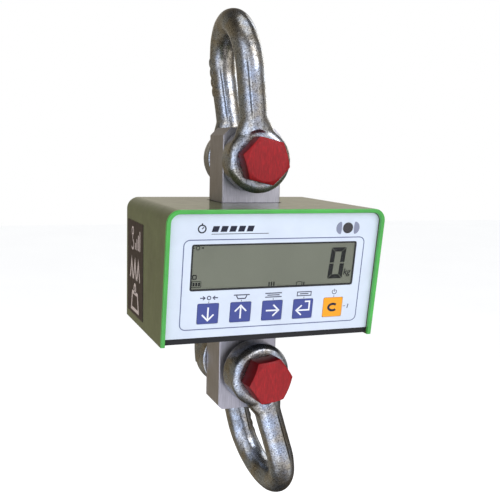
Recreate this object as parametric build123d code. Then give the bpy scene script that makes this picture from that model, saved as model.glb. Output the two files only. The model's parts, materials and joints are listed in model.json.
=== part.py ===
from build123d import *
from math import acos, atan2, cos, hypot, radians, sin, sqrt, tan
import os

os.makedirs("parts", exist_ok=True)

# Crane scale: a load-cell plate hangs between two bow shackles and carries a display casing.
# Millimetres, +Z up. The origin is where a crane hook bears inside the crown of the upper bow.
# The display looks towards -Y, with +X on its right-hand side as seen from the front.

# ---- Shackles ----
pin_d = 28.0
bar_d = 25.0
jaw_gap = 3.0
ear_width = 25.0
ear_d = 58.0
ear_outer_round = 7.0
ear_inner_round = 1.5
ear_hole_clearance = 0.3
ear_spot_margin = 1.5
bow_clear_width = 60.0
seat_length = 95.0
neck_base_height = 8.0
neck_base_half_width = 25.0
neck_top_height = 38.0
neck_top_share = 0.96
bar_start_height = 16.0
jaw_height = 24.0

# ---- Shackle bolts, nuts and split pins ----
head_across_flats = 37.0
head_height = 18.0
head_chamfer = 1.2
head_gap = 0.4
nut_across_flats = 41.0
nut_height = 18.0
nut_gap = 0.6
bolt_tail = 15.0
bolt_end_chamfer = 2.0
split_pin_d = 5.0
split_hole_d = 6.0
split_ring_d = 11.0
split_wire_d = 2.5
split_leg_d = 2.0
split_leg_length = 12.0
split_leg_spread = 28.0

# ---- How the shackles stand in the rest pose ----
upper_lean = -7.3
upper_twist = -3.0
upper_head_turn = 38.7
upper_nut_turn = 38.7
lower_swing = 15.8
lower_twist = 5.5
lower_head_turn = -9.5
lower_nut_turn = 43.5

# ---- Load cell ----
cell_width = 55.0
cell_depth = 39.0
cell_hole_clearance = 2.0
cell_above_hole = 29.75
cell_below_hole = 36.85
cell_top_chamfer = 7.0
cell_bottom_chamfer = 3.2
cell_edge_chamfer = 0.8
bearing_gap = 0.05
pocket_d = 30.0
pocket_depth = 13.0
pocket_cover_thickness = 2.0
pocket_cover_clearance = 0.1
gauge_length = 9.0
gauge_width = 6.0
gauge_thickness = 0.4
gauge_offset = 6.0
lead_share = 0.25
lead_bend_share = 0.9
gland_thread_d = 10.0
gland_hex = 16.0
gland_hex_height = 6.0
gland_nose_d = 12.0
gland_nose_length = 8.0
lead_d = 5.0

# ---- Casing ----
casing_below_hole = 36.6
casing_above_lower_hole = 39.3
casing_width = 192.0
casing_height = 113.6
casing_corner_r = 11.0
casing_wall = 3.5
front_top_reach = 92.8
front_bottom_reach = 75.0
back_reach = 61.3
slot_gap = 1.2
trim_depth = 3.0
trim_edge_round = 0.9
top_seal_proud = 0.2
base_seal_proud = 0.75
fit_gap = 0.3

# ---- Front panel, measured across, down its slope and inwards from the casing's front rim ----
overlay_recess = 4.2
overlay_thickness = 0.8
overlay_short = 4.0
front_plate_thickness = 2.5
gasket_thickness = 2.0
frame_thickness = 3.0
frame_width = 6.0
window_width = 147.0
window_height = 39.4
window_centre = 49.1
window_corner_r = 2.0
window_gap = 0.1
lcd_border = 1.7
lcd_thickness = 2.8
backlight_thickness = 1.8
board_thickness = 1.6
board_width = 164.0
board_top = 12.4
board_short = 11.0
standoff_d = 5.5
board_screw_d = 3.0
board_screw_head_d = 5.5
board_screw_head = 2.0
standoff_inset = 4.0
standoff_middle = 74.0
ir_x = 63.3
ir_down = 17.5
ir_lens_d = 9.5
ir_lens_proud = 0.6
ir_receiver_width = 7.0
front_screw_d = 3.0
front_screw_head_d = 5.0
front_screw_head = 2.0
front_screw_bite = 1.5
front_screw_spread = 80.0

# ---- Keys ----
key_names = ["key_zero", "key_tare", "key_menu", "key_enter", "key_clear"]
key_pitch = 28.4
key_width = 18.2
key_height = 17.6
key_centre = 88.7
key_gap = 0.25
key_proud = 0.3
key_thickness = 1.2
key_corner_r = 1.0
key_travel = 0.5
key_room = 0.3
plunger_d = 6.0
plunger_hole_gap = 0.5
dome_d = 10.0
dome_height = 0.8
dome_gap = 0.1

# ---- Base ----
base_raise = 1.2
base_thickness = 2.5
lip_proud = 0.2
lip_thickness = 2.5
lip_gap = 0.2
base_screw_d = 4.0
base_screw_head_d = 8.0
base_screw_head = 2.2
screw_round_share = 0.6

# ---- Rear ----
rear_recess = 3.0
rear_thickness = 2.5
rear_gasket_thickness = 1.5
rear_screw_d = 4.0
rear_screw_head_d = 7.0
rear_screw_head = 2.2
rear_screw_spread = 86.5
rear_corner_gap = 0.3
rear_top_rail = 9.0
rear_top_screw = 6.0

# ---- Brackets between the cell and the casing ----
bracket_thickness = 3.0
bracket_width = 32.0
bracket_leg = 26.0
bracket_foot = 22.0
bracket_bolt_d = 6.0
bracket_bolt_head = 10.0
bracket_bolt_head_height = 4.0
bracket_bolt_bite = 9.0
bracket_bolt_pitch = 18.0
bracket_hole_share = 0.62

# ---- Battery, signal board and charging socket ----
tray_x = -71.5
tray_y = 8.0
tray_thickness = 2.0
tray_lip = 14.0
tray_screw_spread = 25.0
battery_width = 34.0
battery_length = 76.0
battery_height = 62.0
battery_gap = 0.4
battery_corner_r = 3.0
strap_width = 16.0
strap_thickness = 1.2
strap_end_height = 5.6
signal_x = 64.0
signal_y = 5.0
signal_width = 40.0
signal_length = 76.0
signal_standoff = 8.0
signal_inset = 4.0
signal_post_flats = 6.5
chip_height = 2.4
chip_width = 12.0
chip_length = 8.0
chip_pitch = 15.0
chip_count = 3
connector_length = 5.0
plug_width = 10.0
connector_height = 9.0
ribbon_width = 22.0
ribbon_thickness = 1.0
ribbon_bend_share = 0.5
socket_x = 62.0
socket_down = 84.0
socket_flange_d = 20.0
socket_flange = 3.0
socket_barrel_d = 14.0
socket_barrel_length = 16.0
socket_bore_d = 9.0
socket_bore_depth = 12.0
socket_nut_flats = 19.0
socket_nut_height = 3.0
cap_thickness = 3.0
cap_round = 1.0
cap_gap = 0.3
cap_plug_clearance = 0.5
cap_plug_length = 2.0
hinge_knuckle_d = 5.0
hinge_pin_d = 2.0
hinge_clearance = 0.08
hinge_ear_width = 3.0
hinge_knuckle_width = 7.0
hinge_side_gap = 0.3

# ---- Side label ----
label_front = -9.0
label_back = 54.5
label_top = 20.0
label_bottom = 106.5
label_thickness = 0.4

# How far a cutting shape runs past the faces that it cuts
cut_over = 1.0

# ---- Values worked out from the sizes above ----


def hang_offset(twist):
    """Drop from a bolt's axis to its hole's axis, where a twisted bolt bears on the hole's two rims."""
    sideways = cell_depth / 2 * tan(radians(twist))
    return sqrt((cell_hole_clearance - bearing_gap) ** 2 - sideways ** 2)


jaw_width = cell_depth + 2 * jaw_gap
cell_hole_d = pin_d + 2 * cell_hole_clearance
cell_hole_spacing = casing_below_hole + casing_height + casing_above_lower_hole
pin_r = pin_d / 2
bar_r = bar_d / 2
ear_r = ear_d / 2
ear_y = jaw_width / 2 + ear_width / 2
ear_face = jaw_width / 2 + ear_width
crown_reach = pin_r + seat_length + bar_r
lean = radians(upper_lean)
swing = radians(lower_swing)
upper_hang = hang_offset(upper_twist)
lower_hang = hang_offset(lower_twist)
upper_pin_x = -crown_reach * sin(lean)
upper_pin_z = bar_r - crown_reach * cos(lean)
casing_top_z = upper_pin_z - upper_hang - casing_below_hole
upper_hole_z = casing_below_hole
lower_hole_z = casing_below_hole - cell_hole_spacing
lower_pin_z = lower_hole_z - lower_hang
slope = atan2(front_top_reach - front_bottom_reach, casing_height)
inner_half = casing_width / 2 - casing_wall
inner_corner_r = casing_corner_r - casing_wall
plate_depth = overlay_recess + overlay_thickness
overlay_bottom = casing_height - overlay_short
board_bottom = casing_height - board_short
gasket_depth = plate_depth + front_plate_thickness
frame_depth = gasket_depth + gasket_thickness
frame_back = frame_depth + frame_thickness
board_depth = plate_depth + lcd_thickness + backlight_thickness
board_back = board_depth + board_thickness
base_bottom_z = -(casing_height - base_raise)
base_top_z = base_bottom_z + base_thickness
rear_face = back_reach - rear_recess
rear_panel_front = rear_face - rear_thickness
rear_gasket_front = rear_panel_front - rear_gasket_thickness
rear_frame_front = rear_gasket_front - frame_thickness
cell_top_z = upper_hole_z + cell_above_hole
cell_bottom_z = lower_hole_z - cell_below_hole
pocket_z = (base_top_z - casing_wall) / 2
socket_z = -socket_down
lead_y = -cell_depth * lead_share
signal_top_z = base_top_z + signal_standoff + board_thickness
ribbon_y = signal_y - signal_length / 2 + 2 * signal_inset + connector_length / 2
ribbon_x = signal_x - signal_width / 2 + ribbon_width / 2 + signal_inset

scale_frame = Pos(upper_pin_x, 0, casing_top_z)
upper_frame = Pos(upper_pin_x, 0, upper_pin_z) * Rot(0, 0, upper_twist) * Rot(0, upper_lean, 0)
lower_hang_frame = scale_frame * Pos(0, 0, lower_pin_z) * Rot(0, 0, lower_twist)
lower_frame = lower_hang_frame * Rot(0, 180 - lower_swing, 0)
panel = Plane(origin=(0, -front_top_reach, 0), x_dir=(1, 0, 0), z_dir=(0, -cos(slope), -sin(slope)))


def save(node, shape):
    export_step(shape, f"parts/{node}.step")


def span(x0, x1, y0, y1, z0, z1):
    """A block between two corners."""
    middle = Pos((x0 + x1) / 2, (y0 + y1) / 2, (z0 + z1) / 2)
    return middle * Box(x1 - x0, y1 - y0, z1 - z0)


def rod_x(diameter, x0, x1, y=0.0, z=0.0):
    return Pos((x0 + x1) / 2, y, z) * Rot(0, 90, 0) * Cylinder(diameter / 2, x1 - x0)


def rod_y(diameter, y0, y1, x=0.0, z=0.0):
    return Pos(x, (y0 + y1) / 2, z) * Rot(90, 0, 0) * Cylinder(diameter / 2, y1 - y0)


def rod_z(diameter, z0, z1, x=0.0, y=0.0):
    return Pos(x, y, (z0 + z1) / 2) * Cylinder(diameter / 2, z1 - z0)


def hex_prism(across_flats, height):
    """A hexagonal prism that stands on the XY plane, with a corner towards +X."""
    return extrude(RegularPolygon(across_flats / 2, 6, major_radius=False), height)


def slab(half_width, down0, down1, depth0, depth1, top_r=0.0, bottom_r=0.0):
    """A plate in the sloping front panel, with rounded corners."""
    outline = Rectangle(2 * half_width, down1 - down0)
    corners = outline.vertices().sort_by(Axis.Y)
    if bottom_r:
        outline = fillet(corners[:2], bottom_r)
        corners = outline.vertices().sort_by(Axis.Y)
    if top_r:
        outline = fillet(corners[-2:], top_r)
    plate = extrude(outline, depth1 - depth0)
    return panel.location * Pos(0, -(down0 + down1) / 2, -depth1) * plate


def panel_block(x, down, width, height, depth0, depth1, corner_r=0.0):
    """A small rectangular block in the front panel."""
    outline = RectangleRounded(width, height, corner_r) if corner_r else Rectangle(width, height)
    return panel.location * Pos(x, -down, -depth1) * extrude(outline, depth1 - depth0)


def panel_disc(x, down, diameter, depth0, depth1):
    """A round rod square to the front panel."""
    return panel.location * Pos(x, -down, -depth1) * extrude(Circle(diameter / 2), depth1 - depth0)


def panel_top(depth):
    """How far down the slope the casing's inner top surface lies, at a depth behind the rim."""
    return (casing_wall + depth * sin(slope)) / cos(slope)


# ---- Shackle ----


def leg_geometry():
    """Crown arc centre and radius, and where the straight legs meet it, in the bow's own plane."""
    arc_r = bow_clear_width / 2 + bar_r
    arc_z = crown_reach - arc_r
    away = hypot(ear_y, arc_z)
    angle = atan2(-arc_z, ear_y) + acos(arc_r / away)
    return arc_z, arc_r, arc_r * cos(angle), arc_z + arc_r * sin(angle)


def leg_y(height):
    """Distance of a leg's centre line from the middle plane at a height above the pin."""
    arc_z, arc_r, touch_y, touch_z = leg_geometry()
    return ear_y + (touch_y - ear_y) * height / touch_z


def ear(side):
    disc = rod_y(ear_d, -ear_width / 2, ear_width / 2)
    rims = disc.edges().filter_by(GeomType.CIRCLE).sort_by(Axis.Y)
    outer = rims[-1] if side > 0 else rims[0]
    disc = fillet([outer], ear_outer_round)
    rims = disc.edges().filter_by(GeomType.CIRCLE).sort_by(Axis.Y)
    inner = rims[0] if side > 0 else rims[-1]
    disc = fillet([inner], ear_inner_round)
    return Pos(0, side * ear_y, 0) * disc


def neck(side):
    """The forging's flare from the round bar down to the ear."""
    low = Pos(0, side * ear_y, neck_base_height) * Ellipse(neck_base_half_width, ear_width / 2 - fit_gap)
    top_r = bar_r * neck_top_share
    high = Pos(0, side * leg_y(neck_top_height), neck_top_height) * Ellipse(top_r, top_r)
    return loft([low, high])


def bow():
    """Bow of one shackle: the pin lies along Y through the origin and the crown points to +Z."""
    arc_z, arc_r, touch_y, touch_z = leg_geometry()
    start = (0, leg_y(bar_start_height), bar_start_height)
    finish = (0, -start[1], start[2])
    near = Line(start, (0, touch_y, touch_z))
    crown = ThreePointArc((0, touch_y, touch_z), (0, 0, arc_z + arc_r), (0, -touch_y, touch_z))
    far = Line((0, -touch_y, touch_z), finish)
    along = (0, touch_y - start[1], touch_z - start[2])
    section = Plane(origin=start, z_dir=along) * Circle(bar_r)
    shape = sweep(section, path=Wire([near, crown, far]))
    for side in (-1, 1):
        shape += neck(side)
        shape += ear(side)
    jaw = span(-ear_d, ear_d, -jaw_width / 2, jaw_width / 2, -ear_d, jaw_height)
    spot_d = nut_across_flats / cos(radians(30)) + 2 * ear_spot_margin
    for side in (-1, 1):
        faces = sorted((side * ear_face, side * 2 * ear_face))
        shape -= rod_y(spot_d, *faces)
    return shape - jaw - rod_y(pin_d + 2 * ear_hole_clearance, -2 * ear_face, 2 * ear_face)


def bolt(turn):
    """Shackle bolt along Y with its hexagon head at -Y."""
    under_head = -(ear_face + head_gap)
    nut_outer = ear_face + nut_gap + nut_height
    head = hex_prism(head_across_flats, head_height)
    head = chamfer(head.faces().sort_by(Axis.Z)[-1].edges(), head_chamfer)
    head = Pos(0, under_head, 0) * Rot(90, 0, 0) * Rot(0, 0, turn) * head
    shank = rod_y(pin_d, under_head, nut_outer + bolt_tail)
    end = shank.edges().filter_by(GeomType.CIRCLE).sort_by(Axis.Y)[-1]
    shank = chamfer([end], bolt_end_chamfer)
    cross = rod_z(split_hole_d, -pin_d, pin_d, 0, nut_outer + split_hole_d)
    return head + shank - cross


def nut(turn):
    block = hex_prism(nut_across_flats, nut_height)
    block = chamfer(block.faces().sort_by(Axis.Z)[-1].edges(), head_chamfer)
    block = Rot(-90, 0, 0) * Rot(0, 0, turn) * (block - Cylinder(pin_r, 3 * nut_height))
    return Pos(0, ear_face + nut_gap, 0) * block


def split_pin():
    """Split pin down through the bolt's tail: a ring on top and two spread legs below."""
    y = ear_face + nut_gap + nut_height + split_hole_d
    ring_z = pin_r + (split_ring_d + split_pin_d) / 2
    wire_r = split_wire_d / 2
    body = rod_z(split_pin_d, -pin_r - wire_r, pin_r + split_pin_d, 0, y)
    body += Pos(0, y, ring_z) * Rot(0, 90, 0) * Torus(split_ring_d / 2 - wire_r, wire_r)
    for side in (-1, 1):
        root = Pos(0, y + side * split_leg_d / 2, -pin_r)
        lean_out = Rot(side * split_leg_spread, 0, 0)
        leg = Pos(0, 0, -split_leg_length / 2) * Cylinder(split_leg_d / 2, split_leg_length)
        body += root * lean_out * leg
    return body


def write_shackle(name, frame, head_turn, nut_turn):
    save(f"{name}_shackle_bow", frame * bow())
    save(f"{name}_shackle_bolt", frame * bolt(head_turn))
    save(f"{name}_shackle_nut", frame * nut(nut_turn))
    save(f"{name}_split_pin", frame * split_pin())


# ---- Load cell ----


def load_cell():
    half_x = cell_width / 2
    half_y = cell_depth / 2
    plate = span(-half_x, half_x, -half_y, half_y, cell_bottom_z, cell_top_z)
    plate = chamfer(plate.edges().filter_by(Axis.Y).sort_by(Axis.Z)[-2:], cell_top_chamfer)
    plate = chamfer(plate.edges().filter_by(Axis.Y).sort_by(Axis.Z)[:2], cell_bottom_chamfer)
    plate = chamfer(plate.edges().filter_by(Axis.Z), cell_edge_chamfer)
    plate -= rod_y(cell_hole_d, -cell_depth, cell_depth, 0, upper_hole_z)
    plate -= rod_y(cell_hole_d, -cell_depth, cell_depth, 0, lower_hole_z)
    for side in (-1, 1):
        floor = side * (cell_depth / 2 - pocket_depth)
        mouth = side * cell_depth
        plate -= rod_y(pocket_d, min(floor, mouth), max(floor, mouth), 0, pocket_z)
    plate -= rod_x(gland_thread_d, 0, cell_width, lead_y, pocket_z)
    for x, y, z in bracket_bolt_places():
        inward = x - (bracket_bolt_bite if x > 0 else -bracket_bolt_bite)
        plate -= rod_x(bracket_bolt_d, min(x, inward), max(x, inward), y, z)
    return plate


def gauge_covers():
    covers = []
    for side in (-1, 1):
        outer = side * cell_depth / 2
        inner = side * (cell_depth / 2 - pocket_cover_thickness)
        cover_d = pocket_d - 2 * pocket_cover_clearance
        covers.append(rod_y(cover_d, min(inner, outer), max(inner, outer), 0, pocket_z))
    return Compound(covers)


def strain_gauges():
    gauges = []
    for side in (-1, 1):
        floor = side * (cell_depth / 2 - pocket_depth)
        top = floor + side * gauge_thickness
        for tilt in (-1, 1):
            low = pocket_z + tilt * gauge_offset - gauge_width / 2
            half = gauge_length / 2
            gauges.append(span(-half, half, min(floor, top), max(floor, top), low, low + gauge_width))
    return Compound(gauges)


def cable_gland():
    face = cell_width / 2
    hex_end = face + gland_hex_height
    collar = Pos(face, lead_y, pocket_z) * Rot(0, 90, 0) * hex_prism(gland_hex, gland_hex_height)
    nose = rod_x(gland_nose_d, hex_end, hex_end + gland_nose_length, lead_y, pocket_z)
    thread = rod_x(gland_thread_d, face - gland_nose_length, face, lead_y, pocket_z)
    through = rod_x(lead_d, 0, 2 * cell_width, lead_y, pocket_z)
    return collar + nose + thread - through


def cell_lead():
    """Signal lead from the gauge pocket through the gland to the signal board."""
    start = (cell_width / 2 - gland_nose_length, lead_y, pocket_z)
    corner = (signal_x, lead_y, pocket_z)
    finish = (signal_x, lead_y, signal_top_z + connector_height)
    gland_end = cell_width / 2 + gland_hex_height + gland_nose_length
    bend_r = lead_bend_share * (signal_x - gland_end)
    path = FilletPolyline(start, corner, finish, radius=bend_r)
    section = Plane(origin=start, z_dir=(1, 0, 0)) * Circle(lead_d / 2)
    return sweep(section, path=path)


# ---- Brackets ----


def bracket_bolt_places():
    places = []
    reach = bracket_leg * bracket_hole_share
    for x in (-cell_width / 2, cell_width / 2):
        for y in (-bracket_bolt_pitch / 2, bracket_bolt_pitch / 2):
            places.append((x, y, -casing_wall - reach))
            places.append((x, y, base_top_z + reach))
    return places


def angle_brackets(seat_z, direction):
    """Two angles on the casing face at seat_z, with their legs along the cell in that direction."""
    brackets = []
    for side in (-1, 1):
        face = side * cell_width / 2
        leg_end = seat_z + direction * bracket_leg
        foot_end = seat_z + direction * bracket_thickness
        leg_x = sorted((face, face + side * bracket_thickness))
        foot_x = sorted((face, face + side * bracket_foot))
        half = bracket_width / 2
        leg = span(*leg_x, -half, half, min(seat_z, leg_end), max(seat_z, leg_end))
        foot = span(*foot_x, -half, half, min(seat_z, foot_end), max(seat_z, foot_end))
        brackets.append(leg + foot)
    holes = Compound([hole_for_bolt(place) for place in bracket_bolt_places()])
    brackets = [bracket - holes for bracket in brackets]
    if direction > 0:
        screws = Compound([base_screw_hole(place) for place in base_screw_places()])
        brackets = [bracket - screws for bracket in brackets]
    return Compound(brackets)


def hole_for_bolt(place):
    x, y, z = place
    return rod_x(bracket_bolt_d, *sorted((x, 2 * x)), y, z)


def bracket_bolts():
    bolts = []
    for x, y, z in bracket_bolt_places():
        side = 1 if x > 0 else -1
        outer = x + side * bracket_thickness
        shank = rod_x(bracket_bolt_d, *sorted((x - side * bracket_bolt_bite, outer)), y, z)
        head = hex_prism(bracket_bolt_head, bracket_bolt_head_height)
        bolts.append(shank + Pos(outer, y, z) * Rot(0, side * 90, 0) * head)
    return Compound(bolts)


# ---- Casing ----


def casing_section(inset, top_r):
    """Casing cross-section, seen along Y: a rectangle with its two top corners rounded."""
    width = casing_width - 2 * inset
    height = casing_height - inset
    outline = Pos(0, -inset - height / 2) * Rectangle(width, height)
    return fillet(outline.vertices().sort_by(Axis.Y)[-2:], top_r)


def casing_wrap():
    """The casing's three-sided wall, long enough to be cut to the sloping front."""
    profile = casing_section(0, casing_corner_r) - casing_section(casing_wall, inner_corner_r)
    reach = 2 * front_top_reach
    wall = Plane(origin=(0, back_reach, 0), x_dir=(1, 0, 0), z_dir=(0, -1, 0)) * profile
    return extrude(wall, reach)


def in_front_of(depth):
    """Everything in front of a plane that lies at a depth behind the casing's front rim."""
    big = 4 * casing_width
    return panel.location * Pos(0, 0, big / 2 - depth) * Box(big, big, big)


def cell_slot(z0, z1):
    half_x = cell_width / 2 + slot_gap
    half_y = cell_depth / 2 + slot_gap
    return span(-half_x, half_x, -half_y, half_y, z0, z1)


def casing_cover():
    return casing_wrap() - in_front_of(trim_depth) - cell_slot(-casing_wall * 2, casing_wall)


def front_trim():
    rim = (casing_wrap() & in_front_of(trim_depth)) - in_front_of(0)
    front = rim.faces().sort_by(Axis((0, 0, 0), panel.z_dir))[-1]
    return fillet(front.edges(), trim_edge_round)


def cell_seal(z0, z1):
    """Rubber collar that closes the slot round the cell."""
    block = cell_slot(z0, z1)
    half_x = cell_width / 2
    half_y = cell_depth / 2
    return block - span(-half_x, half_x, -half_y, half_y, z0, z1)


def top_seal():
    return cell_seal(-casing_wall, top_seal_proud)


def base_seal():
    return cell_seal(base_bottom_z - base_seal_proud, base_top_z)


def base_screw_places():
    x = cell_width / 2 + bracket_foot * bracket_hole_share
    y = bracket_bolt_pitch / 2
    return [(side * x, end * y) for side in (-1, 1) for end in (-1, 1)]


def tray_screw_places():
    return [(tray_x, tray_y - tray_screw_spread), (tray_x, tray_y + tray_screw_spread)]


def base_screw_hole(place):
    return rod_z(base_screw_d, 2 * base_bottom_z, 0, *place)


def base_plate():
    """Black tray floor with a lip that shows below the front overlay."""
    half = inner_half - fit_gap
    floor = span(-half, half, -front_top_reach, rear_face, base_bottom_z, base_top_z)
    floor -= in_front_of(overlay_recess - lip_proud)
    lip_front = overlay_recess - lip_proud
    lip_bottom = -base_bottom_z / cos(slope)
    lip = slab(half, overlay_bottom + lip_gap, lip_bottom, lip_front, lip_front + lip_thickness)
    lip -= span(-casing_width, casing_width, -casing_width, 0, 2 * base_bottom_z, base_bottom_z)
    plate = floor + lip
    plate -= cell_slot(2 * base_bottom_z, 0)
    for place in base_screw_places() + tray_screw_places() + signal_standoff_places():
        plate -= base_screw_hole(place)
    return plate


def base_screws():
    screws = []
    for x, y in base_screw_places() + tray_screw_places() + signal_standoff_places():
        top = base_top_z + bracket_thickness
        if (x, y) in tray_screw_places():
            top = base_top_z + tray_thickness
        shank = rod_z(base_screw_d, base_bottom_z, top, x, y)
        head = rod_z(base_screw_head_d, base_bottom_z - base_screw_head, base_bottom_z, x, y)
        rim = head.edges().filter_by(GeomType.CIRCLE).sort_by(Axis.Z)[0]
        screws.append(shank + fillet([rim], base_screw_head * screw_round_share))
    return Compound(screws)


# ---- Front panel ----


def key_x(index):
    return (index - 2) * key_pitch


def key_opening(index, depth, corner_r=0.0):
    width = key_width + 2 * key_gap
    height = key_height + 2 * key_gap
    return panel_block(key_x(index), key_centre, width, height, 0, depth, corner_r)


def front_overlay():
    half = inner_half - fit_gap
    top = panel_top(plate_depth) + fit_gap
    through = 2 * plate_depth
    sheet = slab(half, top, overlay_bottom, overlay_recess, plate_depth, inner_corner_r - fit_gap)
    for index in range(len(key_names)):
        sheet -= key_opening(index, through, key_corner_r + key_gap)
    width = window_width + 2 * window_gap
    height = window_height + 2 * window_gap
    sheet -= panel_block(0, window_centre, width, height, 0, through, window_corner_r)
    return sheet - panel_disc(ir_x, ir_down, ir_lens_d, 0, through)


def front_plate():
    half = inner_half - fit_gap
    top = panel_top(gasket_depth) + fit_gap
    plate = slab(half, top, overlay_bottom, plate_depth, gasket_depth, inner_corner_r - fit_gap)
    pocket_floor = overlay_recess - key_proud + key_thickness + key_travel + key_room
    through = 2 * gasket_depth
    for index in range(len(key_names)):
        plate -= key_opening(index, pocket_floor)
        plate -= panel_disc(key_x(index), key_centre, plunger_d + 2 * plunger_hole_gap, 0, through)
    width = lcd_width() + 2 * fit_gap
    height = lcd_height() + 2 * fit_gap
    plate -= panel_block(0, window_centre, width, height, 0, through)
    plate -= panel_disc(ir_x, ir_down, ir_lens_d, 0, through)
    for x, down in front_screw_places():
        plate -= panel_disc(x, down, front_screw_d, gasket_depth - front_screw_bite, gasket_depth)
    return plate


def ring_slab(depth0, depth1):
    """A rectangular ring behind the front plate, fitted to the casing's inner wall."""
    half = inner_half - fit_gap
    top = panel_top(depth1) + fit_gap
    corner_r = inner_corner_r - fit_gap
    ring = slab(half, top, overlay_bottom, depth0, depth1, corner_r)
    return ring - slab(half - frame_width, top + frame_width, overlay_bottom - frame_width, 0, 2 * depth1)


def front_screw_places():
    top = panel_top(frame_back) + fit_gap + frame_width / 2
    bottom = overlay_bottom - frame_width / 2
    across = (-front_screw_spread, 0, front_screw_spread)
    return [(x, down) for x in across for down in (top, bottom)]


def with_front_screw_holes(ring):
    for x, down in front_screw_places():
        ring -= panel_disc(x, down, front_screw_d, 0, 2 * frame_back)
    return ring


def front_gasket():
    return with_front_screw_holes(ring_slab(gasket_depth, frame_depth))


def front_frame():
    return with_front_screw_holes(ring_slab(frame_depth, frame_back))


def front_screws():
    screws = []
    for x, down in front_screw_places():
        shank = panel_disc(x, down, front_screw_d, gasket_depth - front_screw_bite, frame_back)
        head = panel_disc(x, down, front_screw_head_d, frame_back, frame_back + front_screw_head)
        screws.append(shank + head)
    return Compound(screws)


def display_window():
    depths = (overlay_recess, plate_depth)
    return panel_block(0, window_centre, window_width, window_height, *depths, window_corner_r)


def lcd_width():
    return window_width + 2 * lcd_border


def lcd_height():
    return window_height + 2 * lcd_border


def lcd_panel():
    back = plate_depth + lcd_thickness
    return panel_block(0, window_centre, lcd_width(), lcd_height(), plate_depth, back)


def lcd_backlight():
    front = plate_depth + lcd_thickness
    return panel_block(0, window_centre, lcd_width(), lcd_height(), front, board_depth)


def standoff_places():
    x = board_width / 2 - standoff_inset
    downs = (board_top + standoff_inset, standoff_middle, board_bottom - standoff_inset)
    return [(side * x, down) for side in (-1, 1) for down in downs]


def display_board():
    height = board_bottom - board_top
    middle = (board_top + board_bottom) / 2
    board = panel_block(0, middle, board_width, height, board_depth, board_back)
    for x, down in standoff_places():
        board -= panel_disc(x, down, board_screw_d, 0, 2 * board_back)
    return board


def board_standoffs():
    posts = []
    for x, down in standoff_places():
        post = panel_disc(x, down, standoff_d, gasket_depth, board_depth)
        posts.append(post - panel_disc(x, down, board_screw_d, 0, 2 * board_depth))
    return Compound(posts)


def board_screws():
    screws = []
    for x, down in standoff_places():
        shank = panel_disc(x, down, board_screw_d, gasket_depth, board_back)
        head = panel_disc(x, down, board_screw_head_d, board_back, board_back + board_screw_head)
        screws.append(shank + head)
    return Compound(screws)


def key_domes():
    top = board_depth - dome_height
    domes = []
    for index in range(len(key_names)):
        domes.append(panel_disc(key_x(index), key_centre, dome_d, top, board_depth))
    return Compound(domes)


def key(index):
    face = overlay_recess - key_proud
    back = face + key_thickness
    cap = panel_block(key_x(index), key_centre, key_width, key_height, face, back, key_corner_r)
    tip = board_depth - dome_height - dome_gap - key_travel
    return cap + panel_disc(key_x(index), key_centre, plunger_d, back, tip)


def ir_lens():
    front = overlay_recess - ir_lens_proud
    lens = extrude(Circle(ir_lens_d / 2), gasket_depth - front)
    lens = fillet(lens.edges().filter_by(GeomType.CIRCLE).sort_by(Axis.Z)[-1:], ir_lens_proud)
    return panel.location * Pos(ir_x, -ir_down, -gasket_depth) * lens


def ir_receiver():
    width = ir_receiver_width
    return panel_block(ir_x, ir_down, width, width, gasket_depth, board_depth)


# ---- Rear ----


def rear_plate_at(y0, y1):
    """A plate that fills the casing's inner section between two Y planes."""
    half = inner_half - rear_corner_gap
    height = -base_top_z - casing_wall - 2 * rear_corner_gap
    outline = Pos(0, -casing_wall - rear_corner_gap - height / 2) * Rectangle(2 * half, height)
    outline = fillet(outline.vertices().sort_by(Axis.Y)[-2:], inner_corner_r - rear_corner_gap)
    wall = Plane(origin=(0, y1, 0), x_dir=(1, 0, 0), z_dir=(0, -1, 0)) * outline
    return extrude(wall, y1 - y0)


def rear_screw_places():
    top = -casing_wall - rear_corner_gap - rear_top_screw
    bottom = base_top_z + rear_corner_gap + frame_width / 2
    across = (-rear_screw_spread, 0, rear_screw_spread)
    return [(x, z) for x in across for z in (top, bottom)]


def rear_ring(y0, y1):
    half = inner_half - rear_corner_gap - frame_width
    top = -casing_wall - rear_corner_gap - rear_top_rail
    bottom = base_top_z + rear_corner_gap + frame_width
    ring = rear_plate_at(y0, y1) - span(-half, half, y0 - cut_over, y1 + cut_over, bottom, top)
    for x, z in rear_screw_places():
        ring -= rod_y(rear_screw_d, y0 - cut_over, y1 + cut_over, x, z)
    return ring


def rear_panel():
    plate = rear_plate_at(rear_panel_front, rear_face)
    reach = (rear_panel_front - cut_over, rear_face + cut_over)
    for x, z in rear_screw_places():
        plate -= rod_y(rear_screw_d, *reach, x, z)
    return plate - rod_y(socket_barrel_d, *reach, socket_x, socket_z)


def rear_gasket():
    return rear_ring(rear_gasket_front, rear_panel_front)


def rear_frame():
    return rear_ring(rear_frame_front, rear_gasket_front)


def rear_screws():
    screws = []
    for x, z in rear_screw_places():
        shank = rod_y(rear_screw_d, rear_frame_front, rear_face, x, z)
        head = rod_y(rear_screw_head_d, rear_face, rear_face + rear_screw_head, x, z)
        rim = head.edges().filter_by(GeomType.CIRCLE).sort_by(Axis.Y)[-1]
        screws.append(shank + fillet([rim], rear_screw_head * screw_round_share))
    return Compound(screws)


# ---- Charging socket ----


def hinge_line():
    """Centre of the cap's hinge pin."""
    y = rear_face + socket_flange + cap_gap + cap_thickness / 2
    return y, socket_z + socket_flange_d / 2 + hinge_knuckle_d / 2


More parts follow.
